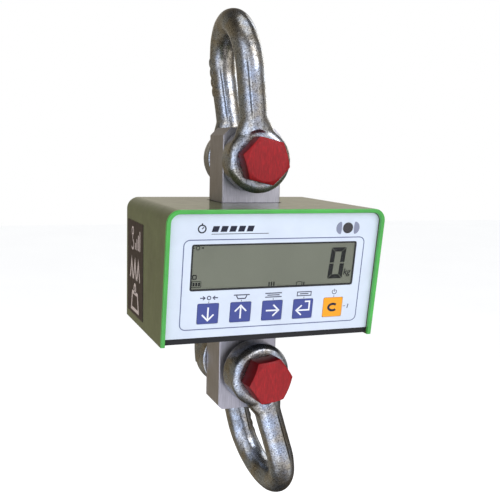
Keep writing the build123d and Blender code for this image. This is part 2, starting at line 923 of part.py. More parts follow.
def charge_socket():
    outside = rear_face + socket_flange
    flange = rod_y(socket_flange_d, rear_face, outside, socket_x, socket_z)
    barrel = rod_y(socket_barrel_d, outside - socket_barrel_length, rear_face, socket_x, socket_z)
    y, z = hinge_line()
    body = flange + barrel
    inner = hinge_knuckle_width / 2 + hinge_side_gap
    outer = inner + hinge_ear_width
    for side in (-1, 1):
        x0, x1 = sorted((socket_x + side * inner, socket_x + side * outer))
        ear_block = span(x0, x1, rear_face, y, socket_z, z + hinge_knuckle_d / 2)
        body += ear_block - span(x0, x1, outside, y, socket_z, z - hinge_knuckle_d / 2)
        body += rod_x(hinge_knuckle_d, x0, x1, y, z)
    body -= rod_x(hinge_pin_d, socket_x - 2 * outer, socket_x + 2 * outer, y, z)
    bore = (outside - socket_bore_depth, outside + cut_over)
    return body - rod_y(socket_bore_d, *bore, socket_x, socket_z)


def socket_nut():
    ring = hex_prism(socket_nut_flats, socket_nut_height)
    ring -= Cylinder(socket_barrel_d / 2, 3 * socket_nut_height)
    return Pos(socket_x, rear_panel_front, socket_z) * Rot(90, 0, 0) * ring


def charge_cap():
    y, z = hinge_line()
    face = rear_face + socket_flange + cap_gap
    half = hinge_knuckle_width / 2
    disc = rod_y(socket_flange_d, face, face + cap_thickness, socket_x, socket_z)
    rim = disc.edges().filter_by(GeomType.CIRCLE).sort_by(Axis.Y)[-1]
    disc = fillet([rim], cap_round)
    tongue = span(socket_x - half, socket_x + half, face, face + cap_thickness, socket_z, z)
    knuckle = rod_x(hinge_knuckle_d, socket_x - half, socket_x + half, y, z)
    plug_d = socket_bore_d - 2 * cap_plug_clearance
    plug = rod_y(plug_d, face - cap_plug_length, face, socket_x, socket_z)
    shape = disc + tongue + knuckle + plug
    pin_hole = hinge_pin_d + 2 * hinge_clearance
    return shape - rod_x(pin_hole, socket_x - 2 * half, socket_x + 2 * half, y, z)


def cap_pin():
    y, z = hinge_line()
    outer = hinge_knuckle_width / 2 + hinge_side_gap + hinge_ear_width
    return rod_x(hinge_pin_d, socket_x - outer, socket_x + outer, y, z)


# ---- Battery and signal board ----


def battery_tray():
    half_x = battery_width / 2 + battery_gap + tray_thickness
    half_y = battery_length / 2 + battery_gap + tray_thickness
    inner_x = half_x - tray_thickness
    inner_y = half_y - tray_thickness
    tray = span(-half_x, half_x, -half_y, half_y, 0, tray_lip)
    tray -= span(-inner_x, inner_x, -inner_y, inner_y, tray_thickness, 2 * tray_lip)
    tray = Pos(tray_x, tray_y, base_top_z) * tray
    for place in tray_screw_places():
        tray -= base_screw_hole(place)
        tray -= rod_z(base_screw_d, base_top_z, base_top_z + 2 * tray_thickness, *place)
    return tray


def battery_pack():
    half_x = battery_width / 2
    half_y = battery_length / 2
    block = span(-half_x, half_x, -half_y, half_y, 0, battery_height)
    block = fillet(block.edges().filter_by(Axis.Z), battery_corner_r)
    return Pos(tray_x, tray_y, base_top_z + tray_thickness) * block


def battery_strap():
    """Strap over the battery, its ends inside the tray's long lips."""
    half = battery_width / 2
    outer = half + battery_gap
    side = strap_width / 2
    strap = span(-outer, outer, -side, side, strap_end_height, battery_height + strap_thickness)
    strap -= span(-half, half, -strap_width, strap_width, 0, battery_height)
    return Pos(tray_x, tray_y, base_top_z + tray_thickness) * strap


def signal_standoff_places():
    x = signal_width / 2 - signal_inset
    y = signal_length / 2 - signal_inset
    return [(signal_x + side * x, signal_y + end * y) for side in (-1, 1) for end in (-1, 1)]


def signal_board():
    half_x = signal_width / 2
    half_y = signal_length / 2
    low = base_top_z + signal_standoff
    board = Pos(signal_x, signal_y, low) * span(-half_x, half_x, -half_y, half_y, 0, board_thickness)
    for x, y in signal_standoff_places():
        board -= rod_z(board_screw_d, low - cut_over, signal_top_z + cut_over, x, y)
    return board


def signal_standoffs():
    """Hexagon posts with a screw on top of each."""
    posts = []
    top = base_top_z + signal_standoff
    for x, y in signal_standoff_places():
        post = Pos(x, y, base_top_z) * hex_prism(signal_post_flats, signal_standoff)
        post -= rod_z(base_screw_d, base_top_z, base_top_z + bracket_thickness, x, y)
        shank = rod_z(board_screw_d, top, signal_top_z, x, y)
        head = rod_z(board_screw_head_d, signal_top_z, signal_top_z + board_screw_head, x, y)
        posts.append(post + shank + head)
    return Compound(posts)


def board_piece(x, y, width, length, height):
    """A block that stands on the signal board."""
    return Pos(x, y, signal_top_z) * span(-width / 2, width / 2, -length / 2, length / 2, 0, height)


def signal_parts():
    """Connectors and chips on the signal board."""
    pieces = [
        board_piece(signal_x, lead_y, plug_width, plug_width, connector_height),
        board_piece(ribbon_x, ribbon_y, ribbon_width, connector_length, connector_height),
    ]
    for row in range(1, chip_count + 1):
        y = lead_y + row * chip_pitch
        pieces.append(board_piece(signal_x, y, chip_width, chip_length, chip_height))
    return Compound(pieces)


def board_ribbon():
    """Flat cable from the display board to the signal board."""
    middle = (board_top + board_bottom) / 2
    start = (panel.location * Pos(0, -middle, -board_back)).position
    inward = (0, cos(slope), sin(slope))
    reach = (ribbon_y - start.Y) / inward[1]
    first = (ribbon_x, start.Y, start.Z)
    knee = (ribbon_x, ribbon_y, start.Z + reach * inward[2])
    last = (ribbon_x, ribbon_y, signal_top_z + connector_height)
    path = FilletPolyline(first, knee, last, radius=reach * ribbon_bend_share)
    section = Plane(origin=first, x_dir=(1, 0, 0), z_dir=inward) * Rectangle(ribbon_width, ribbon_thickness)
    return sweep(section, path=path)


# ---- Side label ----


def side_label():
    x = -casing_width / 2
    return span(x - label_thickness, x, label_front, label_back, -label_bottom, -label_top)


def write_scale():
    """Every piece that is fixed to the load cell."""
    pieces = {
        "load_cell": load_cell(),
        "gauge_covers": gauge_covers(),
        "strain_gauges": strain_gauges(),
        "cable_gland": cable_gland(),
        "cell_lead": cell_lead(),
        "top_brackets": angle_brackets(-casing_wall, -1),
        "base_brackets": angle_brackets(base_top_z, 1),
        "bracket_bolts": bracket_bolts(),
        "casing_cover": casing_cover(),
        "front_trim": front_trim(),
        "top_seal": top_seal(),
        "base_seal": base_seal(),
        "base_plate": base_plate(),
        "base_screws": base_screws(),
        "front_overlay": front_overlay(),
        "front_plate": front_plate(),
        "front_gasket": front_gasket(),
        "front_frame": front_frame(),
        "front_screws": front_screws(),
        "display_window": display_window(),
        "lcd_panel": lcd_panel(),
        "lcd_backlight": lcd_backlight(),
        "display_board": display_board(),
        "board_standoffs": board_standoffs(),
        "board_screws": board_screws(),
        "key_domes": key_domes(),
        "ir_lens": ir_lens(),
        "ir_receiver": ir_receiver(),
        "rear_panel": rear_panel(),
        "rear_gasket": rear_gasket(),
        "rear_frame": rear_frame(),
        "rear_screws": rear_screws(),
        "charge_socket": charge_socket(),
        "socket_nut": socket_nut(),
        "charge_cap": charge_cap(),
        "cap_pin": cap_pin(),
        "battery_tray": battery_tray(),
        "battery_pack": battery_pack(),
        "battery_strap": battery_strap(),
        "signal_board": signal_board(),
        "signal_standoffs": signal_standoffs(),
        "signal_parts": signal_parts(),
        "board_ribbon": board_ribbon(),
        "side_label": side_label(),
    }
    for index, name in enumerate(key_names):
        pieces[name] = key(index)
    for node, shape in pieces.items():
        save(node, scale_frame * shape)


write_shackle("upper", upper_frame, upper_head_turn, upper_nut_turn)
write_shackle("lower", lower_frame, lower_head_turn, lower_nut_turn)
write_scale()
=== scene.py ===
import json
from math import cos, pi, radians, sin, tan

import bmesh
import bpy
from mathutils import Matrix, Vector, noise


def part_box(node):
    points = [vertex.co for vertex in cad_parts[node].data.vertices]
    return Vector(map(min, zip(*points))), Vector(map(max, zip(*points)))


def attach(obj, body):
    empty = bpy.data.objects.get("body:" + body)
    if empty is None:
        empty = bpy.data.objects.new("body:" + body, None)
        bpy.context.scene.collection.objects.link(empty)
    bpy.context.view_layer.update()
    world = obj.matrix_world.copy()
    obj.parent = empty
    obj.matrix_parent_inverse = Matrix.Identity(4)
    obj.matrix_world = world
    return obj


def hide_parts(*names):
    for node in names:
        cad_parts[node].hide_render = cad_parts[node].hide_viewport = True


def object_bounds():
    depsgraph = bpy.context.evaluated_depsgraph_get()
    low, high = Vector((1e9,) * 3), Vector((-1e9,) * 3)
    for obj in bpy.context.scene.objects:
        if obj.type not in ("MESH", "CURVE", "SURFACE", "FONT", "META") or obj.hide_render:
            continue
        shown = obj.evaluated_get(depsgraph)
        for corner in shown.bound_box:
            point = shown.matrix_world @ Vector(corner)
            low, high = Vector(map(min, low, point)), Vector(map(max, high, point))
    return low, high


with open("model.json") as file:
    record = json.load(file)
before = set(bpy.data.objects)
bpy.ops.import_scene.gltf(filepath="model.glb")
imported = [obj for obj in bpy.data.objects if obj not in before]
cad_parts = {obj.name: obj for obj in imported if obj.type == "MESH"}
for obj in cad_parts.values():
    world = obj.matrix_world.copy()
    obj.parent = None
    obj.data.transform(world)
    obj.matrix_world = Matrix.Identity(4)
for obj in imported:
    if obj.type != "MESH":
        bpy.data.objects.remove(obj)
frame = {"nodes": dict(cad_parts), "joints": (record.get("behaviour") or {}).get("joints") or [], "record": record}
cad_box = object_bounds()

# Crane scale. Sizes are in millimetres and are turned into metres as geometry is made.
MM = 0.001

# ---- Shackles ----
bow_voxel = 0.85
bow_smoothing = 10
bow_skin = 0.4
ridge_height = 0.35
ridge_half_width = 1.3
ridge_x = -3.0
bar_low = 30.0
bar_high = 92.0
bar_fade = 12.0
# Half width of the painted shade line along one foot of the ridge.
crease_shade_half_width = 0.9
forging_unevenness = 0.16
pad_height = 1.0
pad_heights_on_leg = (64.0, 73.0, 82.0, 91.0)
pad_y = 42.2
pad_radius = 4.0
pad_side = -0.3
head_height = 18.0
head_flats = 37.0
head_round = 0.5
bolt_d = 28.0
nut_flats = 41.0
chamfer_start = 0.93
chamfer_angle = 30.0
bore_chamfer = 1.0
hexagon_points = 72
flat_facing = 0.3
flat_reach = 0.9
# The head's face sinks towards its middle: shares of the rim's radius, and depths.
head_dish = ((0.55, 0.12), (0.12, 0.16))
upper_head_turn = 38.7
upper_nut_turn = 38.7
lower_head_turn = -9.5
lower_nut_turn = 43.5
thread_pitch = 3.0
thread_depth = 1.2
thread_length = 36.0
thread_runout = 2.0
thread_levels = 8
shank_points = 56
bolt_end_chamfer = 2.0
pin_wire_d = 2.4
pin_ring_r = 4.3
pin_leg_length = 12.0
pin_leg_spread = 5.5
pin_kink = 1.0
pin_kink_height = 3.0
pin_neck = 1.0

# ---- Front panel: across, down the slope, and inwards from the casing's rim ----
window_down = 49.1
window_depth = 4.6
panel_face = 4.2
ink_thickness = 0.05
outline_half_width = 80.3
outline_top = 25.7
outline_bottom = 102.2
outline_corner = 5.0
outline_line = 0.8
receiver_x = 63.3
receiver_down = 17.5
lcd_ink_depth = 4.98
pane_back = 4.7
bezel_width = 1.5
window_corner = 2.0
window_edge = 0.15
mask_corner = 1.6
key_cap_thickness = 1.2
key_corner = 1.6
key_ink_proud = 0.03
key_stroke = 1.35
label_places = (-56.5, -28.2, 0.3, 28.6, 57.1)
lcd_ink_thickness = 0.06
panel_ink_level = -panel_face + ink_thickness
lcd_ink_level = -lcd_ink_depth + 0.08
digit_left = 49.0
digit_top = -34.8
digit_width = 14.0
digit_height = 27.8
digit_stroke = 4.1
digit_gap = 0.35
digit_lean = 3.4
unit_left = 63.6
unit_foot = -59.4
unit_height = 7.6

# ---- Rear data plate: its middle on the rear panel ----
rear_plate_x = 34.0
rear_plate_y = 12.0

# ---- Colours, as 8-bit sRGB ----
panel_white = (216, 226, 242)
olive = (84, 94, 58)
trim_green = (62, 168, 62)
key_blue = (66, 78, 150)
key_orange = (252, 166, 22)
outline_blue = (92, 102, 142)
ink_navy = (22, 26, 46)
label_grey = (62, 66, 92)
lcd_olive = (122, 126, 111)
lcd_ink = (10, 14, 12)
head_red = (152, 24, 30)
# Painted shade: a darker red for the hex head's flats, standing in for the shade on the head's sides.
shaded_flats_red = (100, 12, 20)
label_brown = (42, 30, 34)
label_pale = (206, 190, 184)

# ---- Studio: light, floor and camera ----
soft_light = 0.5
light_target = (0.0, 0.0, -0.2)
floor_half = 6.0
floor_drop = 0.35
camera_from_casing = (-245.9, -674.9, 48.8)
camera_yaw = 20.548
camera_pitch = 7.455
camera_roll = 1.332
camera_lens = 56.17

# ---- Mesh making ----
merge_distance = 0.0005
sharp_angle = 35.0
corner_steps = 6
ring_points = 32


# ---- Frames ----


def frame_of(origin, x_axis, y_axis):
    x = Vector(x_axis).normalized()
    y = Vector(y_axis).normalized()
    z = x.cross(y)
    return Matrix.Translation(origin) @ Matrix((x, y, z)).transposed().to_4x4()


def local_box(node, place):
    """Lowest and highest corners of a CAD node in a frame's own axes, in millimetres."""
    inward = place.inverted()
    points = [inward @ vertex.co for vertex in frame["nodes"][node].data.vertices]
    low = Vector([min(point[i] for point in points) for i in range(3)])
    high = Vector([max(point[i] for point in points) for i in range(3)])
    return low / MM, high / MM


joints = {joint["name"]: joint for joint in frame["joints"]}
mounts = {mount["name"]: mount for mount in frame["record"]["mounts"]}


def shackle_frame(joint_name, mount_name):
    """Frame at the pin: Y lies along the pin and Z points to the crown."""
    pin = Vector(joints[joint_name]["pos_m"])
    y = Vector(joints[joint_name]["axis"]).normalized()
    to_crown = Vector(mounts[mount_name]["pos_m"]) - pin
    z = (to_crown - y * to_crown.dot(y)).normalized()
    return frame_of(pin, y.cross(z), y)


def panel_frame():
    """Frame on the casing's front rim: X across, Y up the slope, Z outwards."""
    low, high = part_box("display_window")
    inward = Vector(joints["key_zero_press"]["axis"]).normalized()
    up = Vector((1, 0, 0)).cross(inward)
    centre = (low + high) / 2
    origin = centre - inward * window_depth * MM + up * window_down * MM
    return frame_of(origin, (1, 0, 0), up)


upper_place = shackle_frame("upper_bolt_spin", "hook_seat")
lower_place = shackle_frame("lower_bolt_spin", "load_seat")
panel_place = panel_frame()


# ---- Mesh helpers ----


def add_object(name, data):
    made = bpy.data.objects.new(name, data)
    bpy.context.scene.collection.objects.link(made)
    return made


def mesh_of(name, data):
    """The mesh that a curve or a text makes."""
    holder = add_object(name, data)
    bpy.context.view_layer.update()
    evaluated = holder.evaluated_get(bpy.context.evaluated_depsgraph_get())
    mesh = bpy.data.meshes.new_from_object(evaluated)
    bpy.data.objects.remove(holder)
    return mesh


def piece_from(bm, name, place, body, materials):
    """Turns a bmesh drawn in millimetres in a frame's axes into a piece that rides on a body."""
    mesh = bpy.data.meshes.new(name)
    bmesh.ops.remove_doubles(bm, verts=bm.verts, dist=merge_distance)
    bmesh.ops.recalc_face_normals(bm, faces=bm.faces)
    bmesh.ops.scale(bm, vec=(MM, MM, MM), verts=bm.verts)
    bm.to_mesh(mesh)
    bm.free()
    mesh.transform(place)
    mesh.shade_smooth()
    mesh.set_sharp_from_angle(angle=radians(sharp_angle))
    for material in materials:
        mesh.materials.append(material)
    piece = add_object(name, mesh)
    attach(piece, body)
    return piece


def apply_modifiers(piece):
    bpy.context.view_layer.update()
    evaluated = piece.evaluated_get(bpy.context.evaluated_depsgraph_get())
    mesh = bpy.data.meshes.new_from_object(evaluated)
    piece.modifiers.clear()
    piece.data = mesh


def add_loops(bm, loops, cap_first=True, cap_last=True, material_index=0):
    """Bridges closed loops of points that all have the same count, and caps the ends."""
    rings = [[bm.verts.new(point) for point in loop] for loop in loops]
    faces = []
    for ring, following in zip(rings, rings[1:]):
        count = len(ring)
        for i in range(count):
            j = (i + 1) % count
            faces.append(bm.faces.new((ring[i], ring[j], following[j], following[i])))
    if cap_first:
        faces.append(bm.faces.new(list(reversed(rings[0]))))
    if cap_last:
        faces.append(bm.faces.new(rings[-1]))
    for face in faces:
        face.material_index = material_index
    return faces


def circle_loop(radius, z, count):
    return [(radius * cos(2 * pi * i / count), radius * sin(2 * pi * i / count), z) for i in range(count)]


def rounded_outline(half_x, half_y, corner):
    """Points of a rounded rectangle, anticlockwise."""
    corner = max(min(corner, half_x, half_y), 0.05)
    points = []
    for quarter in range(4):
        middle_x = (half_x - corner) * (1 if quarter in (0, 3) else -1)
        middle_y = (half_y - corner) * (1 if quarter in (0, 1) else -1)
        for step in range(corner_steps + 1):
            angle = pi / 2 * (quarter + step / corner_steps)
            points.append((middle_x + corner * cos(angle), middle_y + corner * sin(angle)))
    return points


def offset_path(points, distance, closed):
    """Points moved sideways by a distance, with mitred corners."""
    count = len(points)
    moved = []
    for i, point in enumerate(points):
        here = Vector(point)
        before = Vector(points[i - 1]) if i > 0 or closed else None
        after = Vector(points[(i + 1) % count]) if i < count - 1 or closed else None
        into = (here - before).normalized() if before is not None else (after - here).normalized()
        out = (after - here).normalized() if after is not None else into
        side_in = Vector((-into.y, into.x))
        side_out = Vector((-out.y, out.x))
        middle = (side_in + side_out).normalized()
        moved.append(here + middle * distance / max(middle.dot(side_in), 0.4))
    return moved


def add_line(bm, points, width, top, thickness=ink_thickness, closed=False):
    """A flat printed line of constant width. Points are across and up; top is its height along Z."""
    left = offset_path(points, width / 2, closed)
    right = offset_path(points, -width / 2, closed)
    levels = (top, top - thickness)
    grid = []
    for edge in (left, right):
        for level in levels:
            grid.append([bm.verts.new((point.x, point.y, level)) for point in edge])
    left_top, left_low, right_top, right_low = grid
    sides = [(left_top, right_top), (right_top, right_low), (right_low, left_low), (left_low, left_top)]
    count = len(points)
    for i in range(count if closed else count - 1):
        j = (i + 1) % count
        for first, second in sides:
            bm.faces.new((first[i], first[j], second[j], second[i]))
    if not closed:
        for i in (0, -1):
            bm.faces.new((left_top[i], right_top[i], right_low[i], left_low[i]))


def add_plate(bm, outline, top, thickness=ink_thickness):
    """A flat printed patch with a closed outline."""
    low = [(x, y, top - thickness) for x, y in outline]
    high = [(x, y, top) for x, y in outline]
    add_loops(bm, [low, high])


def arc(x, y, radius_x, radius_y, start, end, steps=24):
    points = []
    for step in range(steps + 1):
        angle = radians(start + (end - start) * step / steps)
        points.append((x + radius_x * cos(angle), y + radius_y * sin(angle)))
    return points


def ring(x, y, radius):
    return arc(x, y, radius, radius, 0, 360 * (ring_points - 1) / ring_points, ring_points - 1)


def moved(points, x, y):
    return [(px + x, py + y) for px, py in points]


# ---- Materials ----


def colour(eight_bit, alpha=1.0):
    """Linear colour of an 8-bit sRGB one."""
    linear = []
    for value in eight_bit:
        share = value / 255
        linear.append(share / 12.92 if share <= 0.04045 else ((share + 0.055) / 1.055) ** 2.4)
    return (*linear, alpha)


def shade(eight_bit, factor):
    return tuple(min(value * factor, 255) for value in eight_bit)


def add_node(tree, kind, inputs, **settings):
    made = tree.nodes.new(kind)
    for name, value in settings.items():
        setattr(made, name, value)
    for name, value in inputs.items():
        if isinstance(value, bpy.types.NodeSocket):
            tree.links.new(value, made.inputs[name])
        else:
            made.inputs[name].default_value = value
    return made


def grain(tree, size, detail=4.0, roughness=0.55, stretch=(1, 1, 1)):
    """Noise from 0 to 1 whose features are about size millimetres across, drawn out by stretch."""
    place = add_node(tree, "ShaderNodeTexCoord", {}).outputs["Object"]
    scale = [1 / (size * MM * amount) for amount in stretch]
    mapped = add_node(tree, "ShaderNodeMapping", {"Vector": place, "Scale": scale})
    inputs = {"Vector": mapped.outputs["Vector"], "Scale": 1.0, "Detail": detail, "Roughness": roughness}
    return add_node(tree, "ShaderNodeTexNoise", inputs).outputs[0]


def cells(tree, size):
    """A random shade for each cell of about size millimetres."""
    place = add_node(tree, "ShaderNodeTexCoord", {}).outputs["Object"]
    inputs = {"Vector": place, "Scale": 1 / (size * MM), "Randomness": 1.0}
    return add_node(tree, "ShaderNodeTexVoronoi", inputs).outputs["Color"]


def ramp(tree, factor, stops):
    made = add_node(tree, "ShaderNodeValToRGB", {"Fac": factor})
    elements = made.color_ramp.elements
    while len(elements) < len(stops):
        elements.new(0.5)
    for element, (place, stop_colour) in zip(elements, stops):
        element.position = place
        element.color = stop_colour
    return made.outputs["Color"]


def between(tree, factor, low, high):
    """Turns the middle of a noise into a range of values."""
    inputs = {"Value": factor, "From Min": 0.3, "From Max": 0.7, "To Min": low, "To Max": high}
    return add_node(tree, "ShaderNodeMapRange", inputs).outputs["Result"]


def mix(tree, factor, first, second, blend="MIX"):
    made = add_node(tree, "ShaderNodeMix", {}, data_type="RGBA", blend_type=blend)
    sockets = {"Factor": made.inputs[0], "A": made.inputs[6], "B": made.inputs[7]}
    for socket, value in zip(sockets.values(), (factor, first, second)):
        if isinstance(value, bpy.types.NodeSocket):
            tree.links.new(value, socket)
        else:
            socket.default_value = value
    return made.outputs[2]


def relief(tree, height, depth, normal=None):
    """Bump of a depth in millimetres."""
    inputs = {"Height": height, "Distance": depth * MM, "Strength": 1.0}
    if normal is not None:
        inputs["Normal"] = normal
    return add_node(tree, "ShaderNodeBump", inputs).outputs["Normal"]


def blank(name):
    material = bpy.data.materials.new(name)
    material.use_nodes = True
    tree = material.node_tree
    shader = tree.nodes["Principled BSDF"]
    return material, tree, shader


def set_inputs(tree, shader, **values):
    for name, value in values.items():
        socket = shader.inputs[name.replace("_", " ")]
        if isinstance(value, bpy.types.NodeSocket):
            tree.links.new(value, socket)
        else:
            socket.default_value = value


def plain_finish(name, tone, size=6.0, spread=0.1, roughness=(0.4, 0.5), depth=0.02, relief_size=0.8,
                 stretch=(1, 1, 1), **uniform):
    """A moulded, painted or rolled surface: slight colour variation, uneven gloss and fine relief."""
    material, tree, shader = blank(name)
    patches = grain(tree, size, stretch=stretch)
    stops = [(0.3, colour(shade(tone, 1 - spread))), (0.7, colour(shade(tone, 1 + spread)))]
    fine = grain(tree, relief_size, stretch=stretch)
    set_inputs(
        tree,
        shader,
        Base_Color=ramp(tree, patches, stops),
        Roughness=between(tree, grain(tree, size / 2, stretch=stretch), *roughness),
        Normal=relief(tree, fine, depth),
        **uniform,
    )
    return material


def zinc_finish(name):
    """Hot-dip galvanised forging: bright metal with fine dark mottling, warm and cool tint patches that are partly
    passivation tint and partly painted brown and blue reflection, and a painted shade line along one foot of the
    forging ridge.
    """
    material, tree, shader = blank(name)
    speckle = grain(tree, 1.1, detail=5.0, roughness=0.65)
    metal = ramp(tree, speckle, [
        (0.33, colour((66, 66, 70))),
        (0.41, colour((150, 152, 156))),
        (0.52, colour((205, 208, 212))),
        (0.72, colour((236, 240, 246))),
    ])
    # Warm and cool patches: partly the zinc's passivation tint, partly painted brown and blue reflection.
    tint_and_reflection = ramp(tree, grain(tree, 16.0), [(0.38, colour((212, 200, 178))), (0.62, colour((214, 226, 244)))])
    metal = mix(tree, 0.8, metal, tint_and_reflection, "MULTIPLY")
    spangle = ramp(tree, cells(tree, 3.2), [(0.2, (0.78, 0.78, 0.78, 1)), (0.8, (1, 1, 1, 1))])
    metal = mix(tree, 0.4, metal, spangle, "MULTIPLY")
    # Painted shade: a dark line along one foot of the forging ridge, where a crease's shade falls, read from the
    # bow's point attribute.
    crease_shade = add_node(tree, "ShaderNodeAttribute", {}, attribute_name="crease_shade").outputs["Fac"]
    dark = ramp(tree, crease_shade, [(0.1, (0, 0, 0, 1)), (0.8, (0.85, 0.85, 0.85, 1))])
    metal = mix(tree, dark, metal, colour((34, 32, 32)))
    coarse = relief(tree, grain(tree, 7.0, detail=2.0), 0.35)
    fine = relief(tree, grain(tree, 1.3, detail=2.0, roughness=0.5), 0.05, normal=coarse)
    set_inputs(
        tree,
        shader,
        Base_Color=metal,
        Metallic=0.95,
        Roughness=between(tree, speckle, 0.34, 0.19),
        Normal=fine,
    )
    return material


def thread_finish(name):
    """Machined and zinc-plated steel with a little oil staining in random patches."""
    material, tree, shader = blank(name)
    stain = grain(tree, 4.0, detail=5.0)
    metal = ramp(tree, stain, [(0.35, colour((96, 92, 84))), (0.65, colour((176, 178, 180)))])
    set_inputs(
        tree,
        shader,
        Base_Color=metal,
        Metallic=0.95,
        Roughness=between(tree, stain, 0.42, 0.28),
        Normal=relief(tree, grain(tree, 0.5), 0.05),
    )
    return material


def red_finish(name, tone, gloss):
    """Red enamel over a brushed forging, a little thinner and paler in fine streaks."""
    material, tree, shader = blank(name)
    streaks = grain(tree, 0.8, detail=5.0, roughness=0.65, stretch=(1, 1, 7))
    paint = ramp(tree, streaks, [
        (0.34, colour(shade(tone, 0.86))),
        (0.5, colour(tone)),
        (0.68, colour(shade(tone, 1.18))),
    ])
    wear = ramp(tree, grain(tree, 6.0, detail=5.0), [(0.5, (0, 0, 0, 1)), (0.75, (1, 1, 1, 1))])
    paint = mix(tree, wear, paint, colour(shade(tone, 0.92)))
    set_inputs(
        tree,
        shader,
        Base_Color=paint,
        Metallic=0.0,
        Specular_IOR_Level=gloss,
        Roughness=between(tree, streaks, 0.38, 0.5),
        Normal=relief(tree, streaks, 0.03),
    )
    return material


def brushed_finish(name, tone, direction, roughness):
    """Plated steel ground along one direction, with faint handling marks."""
    material, tree, shader = blank(name)
    lines = grain(tree, 0.5, detail=5.0, roughness=0.7, stretch=direction)
    patches = grain(tree, 18.0, detail=3.0)
    metal = ramp(tree, lines, [(0.3, colour(shade(tone, 0.84))), (0.7, colour(shade(tone, 1.1)))])
    marks = ramp(tree, patches, [(0.35, (0.82, 0.82, 0.82, 1)), (0.65, (1, 1, 1, 1))])
    metal = mix(tree, 0.8, metal, marks, "MULTIPLY")
    set_inputs(
        tree,
        shader,
        Base_Color=metal,
        Metallic=0.9,
        Roughness=between(tree, patches, *roughness),
        Normal=relief(tree, lines, 0.025),
    )
    return material


def paint_finish(name, tone, peel, roughness, coat, coat_roughness):
    """Baked paint with orange peel under a gloss."""
    material, tree, shader = blank(name)
    cloud = ramp(tree, grain(tree, 26.0, detail=4.0), [
        (0.3, colour(shade(tone, 0.93))),
        (0.7, colour(shade(tone, 1.07))),
    ])
    dust = ramp(tree, grain(tree, 1.2, detail=5.0, roughness=0.7), [
        (0.62, (1, 1, 1, 1)),
        (0.8, (1.18, 1.18, 1.14, 1)),
    ])
    set_inputs(
        tree,
        shader,
        Base_Color=mix(tree, 1.0, cloud, dust, "MULTIPLY"),
        Roughness=between(tree, grain(tree, 9.0), *roughness),
        Normal=relief(tree, grain(tree, 1.6, detail=2.0), peel),
        Coat_Weight=coat,
        Coat_Roughness=coat_roughness,
    )
    return material


def film_finish(name, tone, texture):
    """Printed polyester film with a fine pebbled texture."""
    material, tree, shader = blank(name)
    cloud = ramp(tree, grain(tree, 30.0, detail=3.0), [
        (0.3, colour(shade(tone, 0.975))),
        (0.7, colour(shade(tone, 1.015))),
    ])
    set_inputs(
        tree,
        shader,
        Base_Color=cloud,
        Roughness=between(tree, grain(tree, 7.0), 0.34, 0.44),
        Normal=relief(tree, grain(tree, 0.35, detail=2.0), texture),
        Specular_IOR_Level=0.4,
    )
    return material


def glass_finish(name, tone, alpha):
    """Thin clear pane, slightly smeared."""
    material, tree, shader = blank(name)
    smear = grain(tree, 11.0, detail=4.0, stretch=(3, 1, 1))
    set_inputs(
        tree,
        shader,
        Base_Color=ramp(tree, smear, [(0.3, colour(shade(tone, 0.8))), (0.7, colour(tone))]),
        Roughness=between(tree, smear, 0.04, 0.1),
        Alpha=alpha,
        IOR=1.5,
    )
    return material


def board_finish(name):
    """Circuit board: green mask over lighter tracks and pads."""
    material, tree, shader = blank(name)
    place = add_node(tree, "ShaderNodeTexCoord", {}).outputs["Object"]
    inputs = {"Vector": place, "Scale": 260.0, "Mortar Size": 0.035, "Color1": colour((22, 92, 52)),
              "Color2": colour((16, 74, 44)), "Mortar": colour((92, 156, 96))}
    tracks = add_node(tree, "ShaderNodeTexBrick", inputs)
    set_inputs(
        tree,
        shader,
        Base_Color=mix(tree, grain(tree, 3.0), tracks.outputs["Color"], colour((24, 100, 60))),
        Roughness=between(tree, grain(tree, 5.0), 0.28, 0.42),
        Normal=relief(tree, tracks.outputs["Fac"], 0.05),
    )
    return material


zinc = zinc_finish("zinc_forging")
zinc_wire = plain_finish("zinc_wire", (170, 172, 174), 2.0, 0.14, (0.3, 0.45), 0.03, Metallic=0.95)
zinc_sheet = plain_finish("zinc_sheet", (178, 180, 182), 9.0, 0.08, (0.3, 0.42), 0.02, Metallic=0.9)
zinc_thread = thread_finish("zinc_thread")
red = red_finish("red_paint", head_red, 0.3)
# Painted shade: a darker, duller copy of the red paint on the head's flats, standing in for their shade.
shaded_flat_red = red_finish("red_flats_painted_shade", shaded_flats_red, 0.08)
plate_steel = brushed_finish("nickel_plate", (192, 190, 196), (1, 1, 40), (0.3, 0.4))
brass = plain_finish("nickel_brass", (186, 182, 170), 3.0, 0.08, (0.25, 0.35), 0.01, Metallic=0.95)
post_brass = plain_finish("brass_post", (196, 164, 92), 3.0, 0.1, (0.28, 0.4), 0.01, Metallic=0.95)
foil = plain_finish("gauge_foil", (196, 150, 84), 1.0, 0.2, (0.35, 0.5), 0.02, relief_size=0.3, Metallic=0.5)
olive_paint = paint_finish("olive_paint", olive, 0.05, (0.42, 0.5), 0.55, 0.12)
green_paint = paint_finish("green_paint", trim_green, 0.03, (0.32, 0.4), 0.5, 0.1)
black_paint = paint_finish("black_paint", (9, 10, 13), 0.05, (0.5, 0.6), 0.0, 0.3)
rubber = plain_finish("black_rubber", (20, 20, 21), 3.0, 0.2, (0.6, 0.75), 0.05, relief_size=0.4)
sheath = plain_finish("black_sheath", (24, 24, 26), 4.0, 0.15, (0.45, 0.6), 0.03, relief_size=0.5)
black_plastic = plain_finish("black_plastic", (26, 27, 29), 5.0, 0.14, (0.4, 0.52), 0.03, relief_size=0.5)
dark_lens = plain_finish("dark_lens", (16, 14, 18), 4.0, 0.3, (0.05, 0.12), 0.01, relief_size=2.0,
                         Coat_Weight=0.8, Coat_Roughness=0.04)
white_film = film_finish("white_overlay", panel_white, 0.02)
grey_sheet = paint_finish("grey_sheet", (150, 152, 150), 0.04, (0.42, 0.5), 0.1, 0.2)
